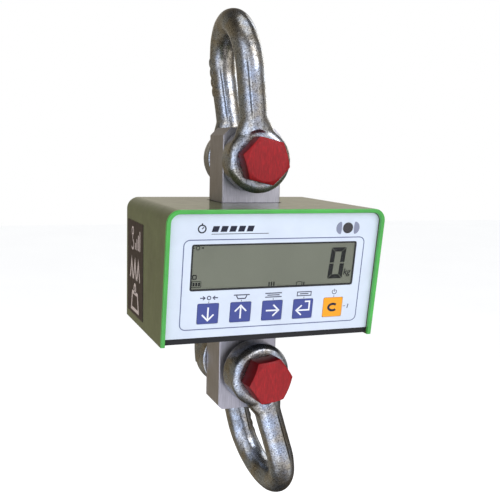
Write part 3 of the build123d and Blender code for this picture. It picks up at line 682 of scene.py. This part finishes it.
diffuser = plain_finish("white_diffuser", (232, 232, 226), 8.0, 0.03, (0.4, 0.5), 0.01)
board_green = board_finish("circuit_board")
battery_wrap = plain_finish("battery_wrap", (38, 66, 120), 12.0, 0.08, (0.22, 0.34), 0.03, relief_size=5.0)
ribbon_grey = plain_finish("grey_ribbon", (150, 150, 152), 0.9, 0.14, (0.4, 0.5), 0.12, relief_size=1.27,
                           stretch=(1, 60, 60))
label_film = film_finish("label_film", label_brown, 0.02)
clear_pane = glass_finish("clear_window", (60, 64, 60), 0.04)
lcd_glass = film_finish("lcd_glass", lcd_olive, 0.004)
blue_cap = film_finish("blue_key", key_blue, 0.02)
orange_cap = film_finish("orange_key", key_orange, 0.02)
outline_ink = film_finish("outline_ink", outline_blue, 0.01)
navy_ink = film_finish("navy_ink", ink_navy, 0.01)
grey_ink = film_finish("grey_ink", label_grey, 0.01)
white_ink = film_finish("white_ink", (240, 243, 250), 0.01)
pale_ink = film_finish("pale_ink", label_pale, 0.01)
display_ink = film_finish("display_ink", lcd_ink, 0.004)
wave_ink = film_finish("wave_ink", (136, 142, 166), 0.01)

node_finishes = {
    "load_cell": plate_steel,
    "gauge_covers": plate_steel,
    "strain_gauges": foil,
    "cable_gland": brass,
    "cell_lead": sheath,
    "top_brackets": zinc_sheet,
    "base_brackets": zinc_sheet,
    "bracket_bolts": zinc_wire,
    "casing_cover": olive_paint,
    "front_trim": green_paint,
    "top_seal": rubber,
    "base_seal": rubber,
    "base_plate": black_paint,
    "base_screws": zinc_wire,
    "front_overlay": white_film,
    "front_plate": grey_sheet,
    "front_gasket": rubber,
    "front_frame": zinc_sheet,
    "front_screws": zinc_wire,
    "lcd_panel": lcd_glass,
    "lcd_backlight": diffuser,
    "display_board": board_green,
    "board_standoffs": post_brass,
    "board_screws": zinc_wire,
    "key_domes": zinc_sheet,
    "ir_lens": dark_lens,
    "ir_receiver": black_plastic,
    "rear_panel": olive_paint,
    "rear_gasket": rubber,
    "rear_frame": zinc_sheet,
    "rear_screws": zinc_wire,
    "charge_socket": black_plastic,
    "socket_nut": brass,
    "charge_cap": rubber,
    "cap_pin": zinc_wire,
    "battery_tray": zinc_sheet,
    "battery_pack": battery_wrap,
    "battery_strap": rubber,
    "signal_board": board_green,
    "signal_standoffs": post_brass,
    "signal_parts": black_plastic,
    "board_ribbon": ribbon_grey,
    "side_label": label_film,
}


def paint_cad_nodes():
    for node, material in node_finishes.items():
        for slot in frame["nodes"][node].material_slots:
            slot.material = material


# ---- Shackle bow ----


def on_leg(point):
    """1 on the bow's legs, falling to 0 towards the ears and the crown."""
    from_ear = min(max((point.z - bar_low) / bar_fade, 0.0), 1.0)
    return from_ear * min(max((bar_high - point.z) / bar_fade, 0.0), 1.0)


def forged_offset(point, normal):
    """How far the forged surface stands off the plain shape at a point of the bow, in millimetres."""
    rise = -bow_skin
    rise += forging_unevenness * noise.noise(point / 11.0)
    rise += forging_unevenness / 3 * noise.noise(point / 3.5)
    off_centre = abs(point.x - ridge_x) / ridge_half_width
    if off_centre < 1:
        rise += ridge_height * (1 - off_centre ** 2) * on_leg(point) * (1 - abs(normal.x))
    for height in pad_heights_on_leg:
        away = Vector((point.y - pad_y, point.z - height)).length / pad_radius
        if away < 1 and normal.x < pad_side:
            rise += pad_height * (1 - away ** 2) ** 0.5
    return rise


def forged_bow(name, node, body, place):
    source = frame["nodes"][node]
    piece = add_object(name, source.data.copy())
    remesh = piece.modifiers.new("skin", "REMESH")
    remesh.mode = "VOXEL"
    remesh.voxel_size = bow_voxel * MM
    smooth = piece.modifiers.new("soften", "SMOOTH")
    smooth.iterations = bow_smoothing
    apply_modifiers(piece)
    mesh = piece.data
    mesh.transform(place.inverted())
    mesh.update()
    normals = [vertex.normal.copy() for vertex in mesh.vertices]
    for vertex, normal in zip(mesh.vertices, normals):
        vertex.co += normal * forged_offset(vertex.co / MM, normal) * MM
    # Painted shade: a point attribute marking a line along one foot of the ridge, which the zinc material darkens
    # as a crease's shade.
    crease_shade = mesh.attributes.new("crease_shade", "FLOAT", "POINT")
    for vertex, mark in zip(mesh.vertices, crease_shade.data):
        point = vertex.co / MM
        across = (point.x - ridge_x + ridge_half_width) / crease_shade_half_width
        mark.value = max(1 - across ** 2, 0.0) * on_leg(point)
    mesh.transform(place)
    mesh.shade_smooth()
    mesh.materials.clear()
    mesh.materials.append(zinc)
    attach(piece, body)
    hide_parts(node)


# ---- Shackle bolt, nut and split pin ----


def hexagon_loop(flats, z, limit=None):
    """A hexagon's points at a height. Past the limit radius the points fall away, as on a chamfered head."""
    fall = tan(radians(chamfer_angle))
    points = []
    for i in range(hexagon_points):
        angle = 2 * pi * i / hexagon_points
        from_middle = (angle % (pi / 3)) - pi / 6
        radius = flats / 2 / cos(from_middle)
        drop = max(radius - limit, 0.0) * fall if limit else 0.0
        points.append((radius * cos(angle), radius * sin(angle), z - drop))
    return points


def add_hexagon(bm, flats, low, high, bore=None):
    """A bolt's head, or with a bore a nut chamfered at both ends. The flats take the second material, which on the
    bolt's head is the darker red of painted shade.
    """
    limit = flats / 2 * chamfer_start
    top = hexagon_loop(flats, high, limit)
    rim = circle_loop(limit, high, hexagon_points)
    if bore:
        foot = [(x, y, 2 * low - z) for x, y, z in hexagon_loop(flats, low, limit)]
        wall = bore / 2
        mouth = wall + bore_chamfer
        loops = [circle_loop(limit, low, hexagon_points), foot, top, rim]
        inside = [(mouth, high), (wall, high - bore_chamfer), (wall, low + bore_chamfer), (mouth, low)]
        loops += [circle_loop(radius, z, hexagon_points) for radius, z in inside]
        loops.append(loops[0])
        faces = add_loops(bm, loops, False, False)
    else:
        loops = [hexagon_loop(flats, low), top, rim]
        loops += [circle_loop(limit * share, high - sunk, hexagon_points) for share, sunk in head_dish]
        faces = add_loops(bm, loops)
    bm.normal_update()
    for face in faces:
        outside = face.calc_center_median().xy.length > flats / 2 * flat_reach
        if outside and abs(face.normal.z) < flat_facing:
            face.material_index = 1


def add_threaded_shank(bm, radius, start, end, material_index):
    """A round shank from start down to end, its last stretch threaded."""
    plain_end = end + thread_length
    runout = plain_end + thread_runout
    loops = [circle_loop(radius, start, shank_points), circle_loop(radius, runout, shank_points)]
    steps = int((thread_length - bolt_end_chamfer) / thread_pitch * thread_levels)
    for step in range(steps + 1):
        z = plain_end - (thread_length - bolt_end_chamfer) * step / steps
        points = []
        for i in range(shank_points):
            turn = i / shank_points
            phase = (z / thread_pitch + turn) % 1.0
            cut = thread_depth * (1 - abs(2 * phase - 1))
            points.append(((radius - cut) * cos(2 * pi * turn), (radius - cut) * sin(2 * pi * turn), z))
        loops.append(points)
    loops.append(circle_loop(radius - bolt_end_chamfer, end, shank_points))
    add_loops(bm, loops, True, True, material_index)


def shackle_bolt(name, node, body, place):
    low, high = local_box(node, place)
    bm = bmesh.new()
    add_hexagon(bm, head_flats, high.z - head_height, high.z)
    add_threaded_shank(bm, bolt_d / 2, high.z - head_height, low.z, 2)
    piece = piece_from(bm, name, place, body, [red, shaded_flat_red, zinc_thread])
    soften(piece, head_round)
    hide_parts(node)


def soften(piece, width):
    """Rounds the sharp edges of a piece."""
    bevel = piece.modifiers.new("soften", "BEVEL")
    bevel.width = width * MM
    bevel.segments = 3
    bevel.limit_method = "ANGLE"
    bevel.angle_limit = radians(28)
    bevel.harden_normals = False
    apply_modifiers(piece)
    piece.data.shade_smooth()
    piece.data.set_sharp_from_angle(angle=radians(40))


def shackle_nut(name, node, body, place):
    low, high = local_box(node, place)
    bm = bmesh.new()
    add_hexagon(bm, nut_flats, low.z, high.z, bolt_d)
    piece = piece_from(bm, name, place, body, [zinc, zinc])
    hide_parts(node)


def split_pin(name, node, body, place):
    """One bent wire: a leg up through the bolt, the ring on top, and a leg down."""
    low, high = local_box(node, place)
    y = (low.y + high.y) / 2
    ring_z = high.z - pin_ring_r - pin_wire_d / 2
    leg = pin_wire_d / 2
    foot_z = low.z + pin_leg_length
    one_leg = [
        (pin_leg_spread, low.z + pin_wire_d),
        (leg + pin_kink, foot_z - pin_kink_height),
        (leg, foot_z),
        (leg, 0.0),
        (leg, ring_z - pin_ring_r - pin_neck),
    ]
    turns = [radians(angle) for angle in range(45, 360, 45)]
    points = one_leg + [(pin_ring_r * sin(turn), ring_z - pin_ring_r * cos(turn)) for turn in turns]
    points += [(-py, pz) for py, pz in reversed(one_leg)]
    curve = bpy.data.curves.new(name, "CURVE")
    curve.dimensions = "3D"
    curve.bevel_depth = pin_wire_d / 2 * MM
    curve.bevel_resolution = 5
    curve.use_fill_caps = True
    spline = curve.splines.new("NURBS")
    spline.points.add(len(points) - 1)
    for control, (py, pz) in zip(spline.points, points):
        control.co = (0, (y + py) * MM, pz * MM, 1)
    spline.order_u = 3
    spline.use_endpoint_u = True
    spline.resolution_u = 6
    mesh = mesh_of(name + "_line", curve)
    mesh.transform(place)
    mesh.materials.clear()
    mesh.materials.append(zinc_wire)
    mesh.shade_smooth()
    piece = add_object(name, mesh)
    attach(piece, body)
    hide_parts(node)


def build_shackle(side, place, head_turn, nut_turn):
    towards_head = place @ Matrix.Rotation(radians(90), 4, "X")
    towards_nut = place @ Matrix.Rotation(radians(-90), 4, "X")
    bolt_place = towards_head @ Matrix.Rotation(radians(head_turn), 4, "Z")
    nut_place = towards_nut @ Matrix.Rotation(radians(nut_turn), 4, "Z")
    forged_bow(f"{side}_bow_forging", f"{side}_shackle_bow", f"{side}_shackle", place)
    shackle_bolt(f"{side}_bolt_turned", f"{side}_shackle_bolt", f"{side}_bolt", bolt_place)
    shackle_nut(f"{side}_nut_turned", f"{side}_shackle_nut", f"{side}_bolt", nut_place)
    split_pin(f"{side}_pin_wire", f"{side}_split_pin", f"{side}_bolt", place)


# ---- Front panel prints ----


def ink_piece(name, draw, material, place=None):
    """A print drawn by a function on a bmesh, in the panel's axes unless a place is given."""
    bm = bmesh.new()
    draw(bm)
    piece_from(bm, name, place or panel_place, "scale", [material])


def draw_outline(bm):
    middle = -(outline_top + outline_bottom) / 2
    half = (outline_bottom - outline_top) / 2
    path = moved(rounded_outline(outline_half_width, half, outline_corner), 0, middle)
    add_line(bm, path, outline_line, panel_ink_level, closed=True)


def draw_waves(bm):
    """Two leaf shapes either side of the receiver."""
    level = panel_ink_level
    for side in (-1, 1):
        tip = receiver_x + side * 6.6
        outer = arc(tip, -receiver_down, side * 4.4, 5.4, -90, 90, 14)
        inner = arc(tip, -receiver_down, -side * 0.9, 5.4, 90, -90, 14)
        outline = outer + inner[1:-1]
        add_plate(bm, outline if side > 0 else list(reversed(outline)), level)


def draw_emblem(bm):
    """A dial pictogram, and a row of slanted blocks over a thin line."""
    level = panel_ink_level
    add_line(bm, ring(-66.0, -16.6, 3.1), 1.1, level, closed=True)
    add_line(bm, [(-66.0, -12.0), (-66.0, -14.0)], 1.1, level)
    add_line(bm, [(-66.0, -16.6), (-64.6, -15.2)], 0.8, level)
    for block in range(5):
        left = -58.0 + 7.4 * block
        add_plate(bm, [(left, -19.2), (left + 5.4, -19.2), (left + 6.8, -14.4), (left + 1.4, -14.4)], level)
    add_line(bm, [(-58.0, -21.0), (-9.0, -21.0)], 0.5, level)


def draw_labels(bm):
    """Small pictograms above the keys, with a tick down to each key."""
    level = panel_ink_level
    first, second, third, fourth, fifth = label_places
    for side in (-1, 1):
        tip = first + side * 3.4
        barb = first + side * 5.2
        add_line(bm, [(first + side * 7.6, -75.0), (tip, -75.0)], 0.9, level)
        add_line(bm, [(barb, -73.4), (tip, -75.0), (barb, -76.6)], 0.8, level)
    add_line(bm, ring(first, -75.0, 1.5), 0.8, level, closed=True)
    add_line(bm, [(second - 7.0, -73.6), (second + 7.0, -73.6)], 0.9, level)
    add_line(bm, [(second - 4.6, -74.2), (second - 3.2, -76.8), (second + 3.2, -76.8), (second + 4.6, -74.2)],
             0.9, level)
    for bar, length in enumerate((15.0, 11.0, 15.0)):
        down = -73.3 - 1.7 * bar
        add_line(bm, [(third - length / 2, down), (third + length / 2, down)], 0.9, level)
    add_line(bm, [(fourth - 6.4, -73.4), (fourth + 6.4, -73.4), (fourth + 6.4, -76.8), (fourth - 6.4, -76.8)],
             0.8, level, closed=True)
    add_line(bm, [(fourth - 4.0, -75.1), (fourth + 4.0, -75.1)], 0.8, level)
    add_line(bm, arc(fifth, -74.6, 2.0, 2.0, 120, 420), 0.6, level)
    add_line(bm, [(fifth, -72.0), (fifth, -74.6)], 0.6, level)
    for x in label_places:
        add_line(bm, [(x, -77.9), (x, -79.4)], 0.5, level)
    add_line(bm, [(fifth + 9.9, -88.2), (fifth + 11.8, -88.2)], 0.5, level)
    add_line(bm, [(fifth + 14.0, -90.3), (fifth + 14.8, -86.4)], 0.8, level)


def draw_digit(bm):
    """Seven-segment zero, leaning a little."""
    gap = digit_gap
    width = digit_width
    height = digit_height
    thick = digit_stroke
    half = height / 2
    slant = tan(radians(digit_lean))

    def segment(points, flip):
        leaning = [(digit_left + x + (y + height) * slant, digit_top + y) for x, y in points]
        add_plate(bm, list(reversed(leaning)) if flip else leaning, lcd_ink_level, lcd_ink_thickness)

    segment([(gap, 0), (width - gap, 0), (width - thick, -thick + gap), (thick, -thick + gap)], True)
    inside = -height + thick - gap
    segment([(gap, -height), (width - gap, -height), (width - thick, inside), (thick, inside)], False)
    for side in (0, 1):
        for end in (0, 1):
            outer = width if side else 0
            inner = width - thick if side else thick
            start = -height + gap if end else -gap
            turn = -height + thick if end else -thick
            stop = -half - 0.5 if end else -half + 0.5
            segment([(outer, start), (inner, turn), (inner, stop), (outer, stop)], (side + end) % 2 == 0)


def draw_display_signs(bm):
    """Small signs on the display: zero mark, lamp, battery and two state marks."""
    level = lcd_ink_level
    ink = lcd_ink_thickness
    add_line(bm, ring(-68.2, -32.5, 1.5), 0.6, level, ink, closed=True)
    add_plate(bm, [(-73.0, -31.6), (-73.0, -33.4), (-70.6, -32.5)], level, ink)
    add_plate(bm, [(-63.4, -33.4), (-63.4, -31.6), (-65.8, -32.5)], level, ink)
    add_line(bm, moved(rounded_outline(1.5, 1.6, 0.5), -69.8, -57.0), 0.9, level, ink, closed=True)
    add_line(bm, moved(rounded_outline(3.9, 2.5, 0.6), -67.9, -63.2), 0.5, level, ink, closed=True)
    for bar in range(3):
        add_plate(bm, moved(rounded_outline(0.8, 1.5, 0.1), -70.2 + 2.3 * bar, -63.2), level, ink)
    for bar in range(3):
        add_line(bm, [(-4.4 + 2.2 * bar, -63.4), (-4.4 + 2.2 * bar, -67.0)], 1.2, level, ink)
    roof = [(20.6, -67.6), (20.6, -64.8), (23.2, -64.0), (25.8, -64.8), (25.8, -67.6)]
    add_line(bm, roof, 0.6, level, ink)
    add_line(bm, [(27.6, -64.4), (27.6, -67.8)], 1.0, level, ink)


def display_unit():
    """The unit sign beside the digit."""
    text = bpy.data.curves.new("unit", "FONT")
    text.body = "kg"
    text.size = unit_height * MM
    text.shear = 0.18
    text.extrude = 0.03 * MM
    text.space_character = 0.95
    text.offset = 0.1 * MM
    mesh = mesh_of("unit", text)
    place = Vector((unit_left, unit_foot, -lcd_ink_depth + 0.05)) * MM
    mesh.transform(panel_place @ Matrix.Translation(place))
    mesh.materials.clear()
    mesh.materials.append(display_ink)
    piece = add_object("display_unit", mesh)
    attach(piece, "scale")


def window_pane():
    """The clear pane with its eased front edge, and the black mask behind its rim."""
    low, high = local_box("display_window", panel_place)
    half_x = (high.x - low.x) / 2
    half_y = (high.y - low.y) / 2
    middle = (low.y + high.y) / 2
    levels = [(window_edge, high.z), (0.0, high.z - window_edge), (0.0, -pane_back)]
    loops = []
    for inset, z in reversed(levels):
        outline = moved(rounded_outline(half_x - inset, half_y - inset, window_corner - inset), 0, middle)
        loops.append([(x, y, z) for x, y in outline])
    bm = bmesh.new()
    add_loops(bm, loops)
    pane = piece_from(bm, "window_pane", panel_place, "scale", [clear_pane])
    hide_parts("display_window")
    bm = bmesh.new()
    mask = rounded_outline(half_x - bezel_width / 2, half_y - bezel_width / 2, mask_corner)
    add_line(bm, moved(mask, 0, middle), bezel_width, -pane_back - 0.02, 0.1, closed=True)
    piece_from(bm, "window_mask", panel_place, "scale", [black_plastic])


# ---- Keys ----


def draw_arrow(bm, level, turn):
    """An arrow across a key, pointing right before it is turned."""
    angle = radians(turn)

    def turned(points):
        return [(x * cos(angle) - y * sin(angle), x * sin(angle) + y * cos(angle)) for x, y in points]

    add_line(bm, turned([(-5.6, 0), (5.2, 0)]), key_stroke, level)
    add_line(bm, turned([(0.8, 5.0), (5.9, 0), (0.8, -5.0)]), key_stroke, level)


def draw_return(bm, level):
    add_line(bm, [(1.4, 6.6), (5.8, 6.6), (5.8, -1.2), (-5.4, -1.2)], key_stroke, level)
    add_line(bm, [(-1.2, 3.2), (-6.0, -1.2), (-1.2, -5.6)], key_stroke, level)


def draw_open_ring(bm, level):
    add_line(bm, arc(0, 0, 4.0, 3.0, 42, 318, 30), 2.1, level)


def membrane_key(name, cap_material, ink, draw):
    """A soft-edged cap with its plunger, and the sign printed on it."""
    low, high = local_box(name, panel_place)
    middle_x = (low.x + high.x) / 2
    middle_y = (low.y + high.y) / 2
    half_x = (high.x - low.x) / 2
    half_y = (high.y - low.y) / 2
    cap_back = high.z - key_cap_thickness
    profile = [(0.15, cap_back), (0.0, cap_back + 0.12), (0.0, high.z - 0.42), (0.08, high.z - 0.2),
               (0.25, high.z - 0.07), (0.6, high.z - 0.01), (2.2, high.z)]
    loops = []
    for inset, z in profile:
        outline = rounded_outline(half_x - inset, half_y - inset, key_corner - min(inset, 0.6))
        loops.append([(x, y, z) for x, y in outline])
    bm = bmesh.new()
    add_loops(bm, loops)
    plunger = [circle_loop(2.4, low.z, 24), circle_loop(3.0, low.z + 0.6, 24), circle_loop(3.0, cap_back, 24)]
    add_loops(bm, plunger)
    place = panel_place @ Matrix.Translation(Vector((middle_x, middle_y, 0)) * MM)
    cap = piece_from(bm, f"{name}_cap", place, name, [cap_material])
    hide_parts(name)
    bm = bmesh.new()
    draw(bm, high.z + key_ink_proud)
    piece_from(bm, f"{name}_sign", place, name, [ink])


def build_keys():
    for name, turn in (("key_zero", -90), ("key_tare", 90), ("key_menu", 0)):
        membrane_key(name, blue_cap, white_ink, lambda bm, level: draw_arrow(bm, level, turn))
    membrane_key("key_enter", blue_cap, white_ink, draw_return)
    membrane_key("key_clear", orange_cap, navy_ink, draw_open_ring)


# ---- Side label and rear plate ----


def side_frame():
    """Frame on the side label: X towards the rear, Y up, Z outwards on the casing's left."""
    low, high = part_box("side_label")
    origin = Vector((low.x, (low.y + high.y) / 2, (low.z + high.z) / 2))
    return frame_of(origin, (0, -1, 0), (0, 0, 1))


def draw_side_signs(bm):
    """A hook, a rising row of bars, a row of chevrons and a weight."""
    level = ink_thickness
    add_line(bm, ring(-10.0, 34.0, 3.4), 1.8, level, closed=True)
    add_line(bm, [(-10.0, 30.6), (-10.0, 26.0)], 1.8, level)
    add_line(bm, arc(-10.0, 21.6, 4.4, 4.4, 90, -150), 1.8, level)
    for mark in range(4):
        x = 2.0 + 6.0 * mark
        add_line(bm, [(x, 18.0), (x, 24.0 + 4.0 * mark)], 2.6, level)
    for mark in range(3):
        left = -20.0 + 14.0 * mark
        add_line(bm, [(left, -10.0), (left + 6.0, 7.0), (left + 12.0, -10.0)], 3.2, level)
    add_line(bm, [(-15.0, -38.5), (-10.5, -23.0), (10.5, -23.0), (15.0, -38.5)], 3.2, level, closed=True)
    add_line(bm, ring(0.0, -18.4, 3.6), 2.6, level, closed=True)


def rear_frame_place():
    """Frame on the rear panel: X to the right as seen from behind, Y up, Z outwards."""
    low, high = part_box("rear_panel")
    origin = Vector(((low.x + high.x) / 2, high.y, (low.z + high.z) / 2))
    return frame_of(origin, (-1, 0, 0), (0, 0, 1))


def draw_rear_plate(bm):
    outline = moved(rounded_outline(32.0, 20.0, 2.0), rear_plate_x, rear_plate_y)
    loops = [[(x, y, 0.0) for x, y in outline], [(x, y, 0.35) for x, y in outline]]
    inner = moved(rounded_outline(31.7, 19.7, 1.8), rear_plate_x, rear_plate_y)
    loops.append([(x, y, 0.5) for x, y in inner])
    add_loops(bm, loops)


def draw_rear_marks(bm):
    border = moved(rounded_outline(29.5, 17.5, 1.2), rear_plate_x, rear_plate_y)
    add_line(bm, border, 0.4, 0.54, closed=True)
    for row, length in enumerate((40.0, 34.0, 44.0, 26.0)):
        up = 24.0 - 6.0 * row
        add_line(bm, [(8.0, up), (8.0 + length, up)], 1.2, 0.54)
    for bar in range(9):
        width = 0.6 + 0.5 * (bar % 3)
        add_line(bm, [(8.0 + 2.6 * bar, -3.0), (8.0 + 2.6 * bar, 1.5)], width, 0.54)


def build_prints():
    ink_piece("panel_outline", draw_outline, outline_ink)
    ink_piece("receiver_waves", draw_waves, wave_ink)
    ink_piece("panel_emblem", draw_emblem, navy_ink)
    ink_piece("panel_labels", draw_labels, grey_ink)
    ink_piece("display_digit", draw_digit, display_ink)
    ink_piece("display_signs", draw_display_signs, display_ink)
    display_unit()
    ink_piece("side_signs", draw_side_signs, pale_ink, side_frame())
    ink_piece("rear_data_plate", draw_rear_plate, zinc_sheet, rear_frame_place())
    ink_piece("rear_data_marks", draw_rear_marks, navy_ink, rear_frame_place())


# ---- Studio ----


def area_light(name, place, target, size, power, tone=(255, 255, 255)):
    light = bpy.data.lights.new(name, "AREA")
    light.shape = "RECTANGLE"
    light.size, light.size_y = size
    light.energy = power
    light.color = colour(tone)[:3]
    lamp = add_object(name, light)
    lamp.location = place
    lamp.rotation_euler = (Vector(target) - Vector(place)).to_track_quat("-Z", "Y").to_euler()


def build_world():
    """Even light for paint, bright and dark quarters for metal to reflect, and plain white to look at."""
    world = bpy.data.worlds.new("studio")
    bpy.context.scene.world = world
    world.use_nodes = True
    tree = world.node_tree
    tree.nodes.clear()
    direction = add_node(tree, "ShaderNodeTexCoord", {}).outputs["Generated"]
    parts = add_node(tree, "ShaderNodeSeparateXYZ", {"Vector": direction})

    def along(axis):
        inputs = {"Value": parts.outputs[axis], "From Min": -1.0, "From Max": 1.0}
        return add_node(tree, "ShaderNodeMapRange", inputs).outputs["Result"]

    front = ramp(tree, along("X"), [
        (0.00, (0.24, 0.21, 0.17, 1)),
        (0.07, (0.95, 0.98, 1.10, 1)),
        (0.24, (1.75, 1.85, 2.10, 1)),
        (0.40, (0.85, 0.88, 1.00, 1)),
        (0.68, (0.80, 0.80, 0.90, 1)),
        (0.86, (0.95, 0.92, 0.88, 1)),
        (1.00, (0.14, 0.11, 0.08, 1)),
    ])
    back_left = (0.25, 0.21, 0.145, 1)
    back_right = ramp(tree, along("Z"), [
        (0.46, (0.07, 0.055, 0.04, 1)),
        (0.53, (0.74, 0.68, 0.58, 1)),
        (0.75, (0.24, 0.20, 0.15, 1)),
    ])
    side = ramp(tree, along("X"), [(0.40, (0, 0, 0, 1)), (0.54, (1, 1, 1, 1))])
    back = mix(tree, side, back_left, back_right)
    halves = ramp(tree, along("Y"), [(0.46, (0, 0, 0, 1)), (0.56, (1, 1, 1, 1))])
    tone = mix(tree, halves, front, back)
    height = ramp(tree, along("Z"), [
        (0.04, (0.20, 0.18, 0.15, 1)),
        (0.24, (1.35, 1.35, 1.35, 1)),
        (0.46, (1, 1, 1, 1)),
        (0.62, (1, 1, 1, 1)),
        (0.86, (0.14, 0.12, 0.09, 1)),
    ])
    tone = mix(tree, 1.0, tone, height, "MULTIPLY")
    rays = add_node(tree, "ShaderNodeLightPath", {})
    soft = add_node(tree, "ShaderNodeBackground", {"Color": (0.96, 0.98, 1.0, 1), "Strength": soft_light})
    mirrored = add_node(tree, "ShaderNodeBackground", {"Color": tone, "Strength": 1.0})
    backdrop = add_node(tree, "ShaderNodeBackground", {"Color": (1, 1, 1, 1), "Strength": 1.0})
    inputs = {0: rays.outputs["Is Glossy Ray"], 1: soft.outputs[0], 2: mirrored.outputs[0]}
    around = add_node(tree, "ShaderNodeMixShader", inputs)
    inputs = {0: rays.outputs["Is Camera Ray"], 1: around.outputs[0], 2: backdrop.outputs[0]}
    mixed = add_node(tree, "ShaderNodeMixShader", inputs)
    add_node(tree, "ShaderNodeOutputWorld", {"Surface": mixed.outputs[0]})


def build_floor():
    lowest = cad_box[0][2]
    half = floor_half
    outline = ((-half, -half), (half, -half), (half, half), (-half, half))
    bm = bmesh.new()
    bm.faces.new([bm.verts.new((x, y, lowest - floor_drop)) for x, y in outline])
    mesh = bpy.data.meshes.new("floor")
    bm.to_mesh(mesh)
    bm.free()
    material, tree, shader = blank("pale_floor")
    set_inputs(tree, shader, Roughness=0.9, Emission_Strength=0.55)
    tone = ramp(tree, grain(tree, 400.0), [(0.3, (0.86, 0.86, 0.87, 1)), (0.7, (0.9, 0.9, 0.9, 1))])
    set_inputs(tree, shader, Base_Color=tone, Emission_Color=(1, 1, 1, 1))
    mesh.materials.append(material)
    floor = add_object("floor", mesh)
    floor.visible_glossy = False


def build_camera():
    low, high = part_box("casing_cover")
    casing = Vector(((low.x + high.x) / 2, 0, high.z))
    eye = casing + Vector(camera_from_casing) * MM
    yaw = radians(camera_yaw)
    pitch = radians(camera_pitch)
    roll = radians(camera_roll)
    forward = Vector((sin(yaw) * cos(pitch), cos(yaw) * cos(pitch), -sin(pitch)))
    right = Vector((cos(yaw), -sin(yaw), 0))
    up = right.cross(forward)
    tilted_right = right * cos(roll) + up * sin(roll)
    camera = bpy.data.cameras.new("camera")
    camera.lens = camera_lens
    camera.sensor_width = 36.0
    camera.clip_start = 0.01
    camera.clip_end = 50.0
    holder = add_object("camera", camera)
    holder.matrix_world = frame_of(eye, tilted_right, tilted_right.cross(forward))
    bpy.context.scene.camera = holder


def build_lights():
    area_light("front_right", (0.7, -1.2, 0.6), light_target, (0.9, 1.1), 10.0, (250, 250, 255))
    area_light("front_left", (-1.2, -0.8, 0.3), light_target, (0.3, 1.2), 1.4, (240, 246, 255))
    area_light("above", (0.1, -0.2, 1.3), light_target, (1.2, 1.2), 6.0)
    area_light("rear_right", (1.0, 0.8, 0.4), light_target, (0.5, 1.0), 3.0)


# ---- The object and its studio ----

build_camera()
build_world()
build_floor()
build_lights()
paint_cad_nodes()
build_shackle("upper", upper_place, upper_head_turn, upper_nut_turn)
build_shackle("lower", lower_place, lower_head_turn, lower_nut_turn)
window_pane()
build_keys()
build_prints()
bpy.context.scene.view_settings.view_transform = "Standard"
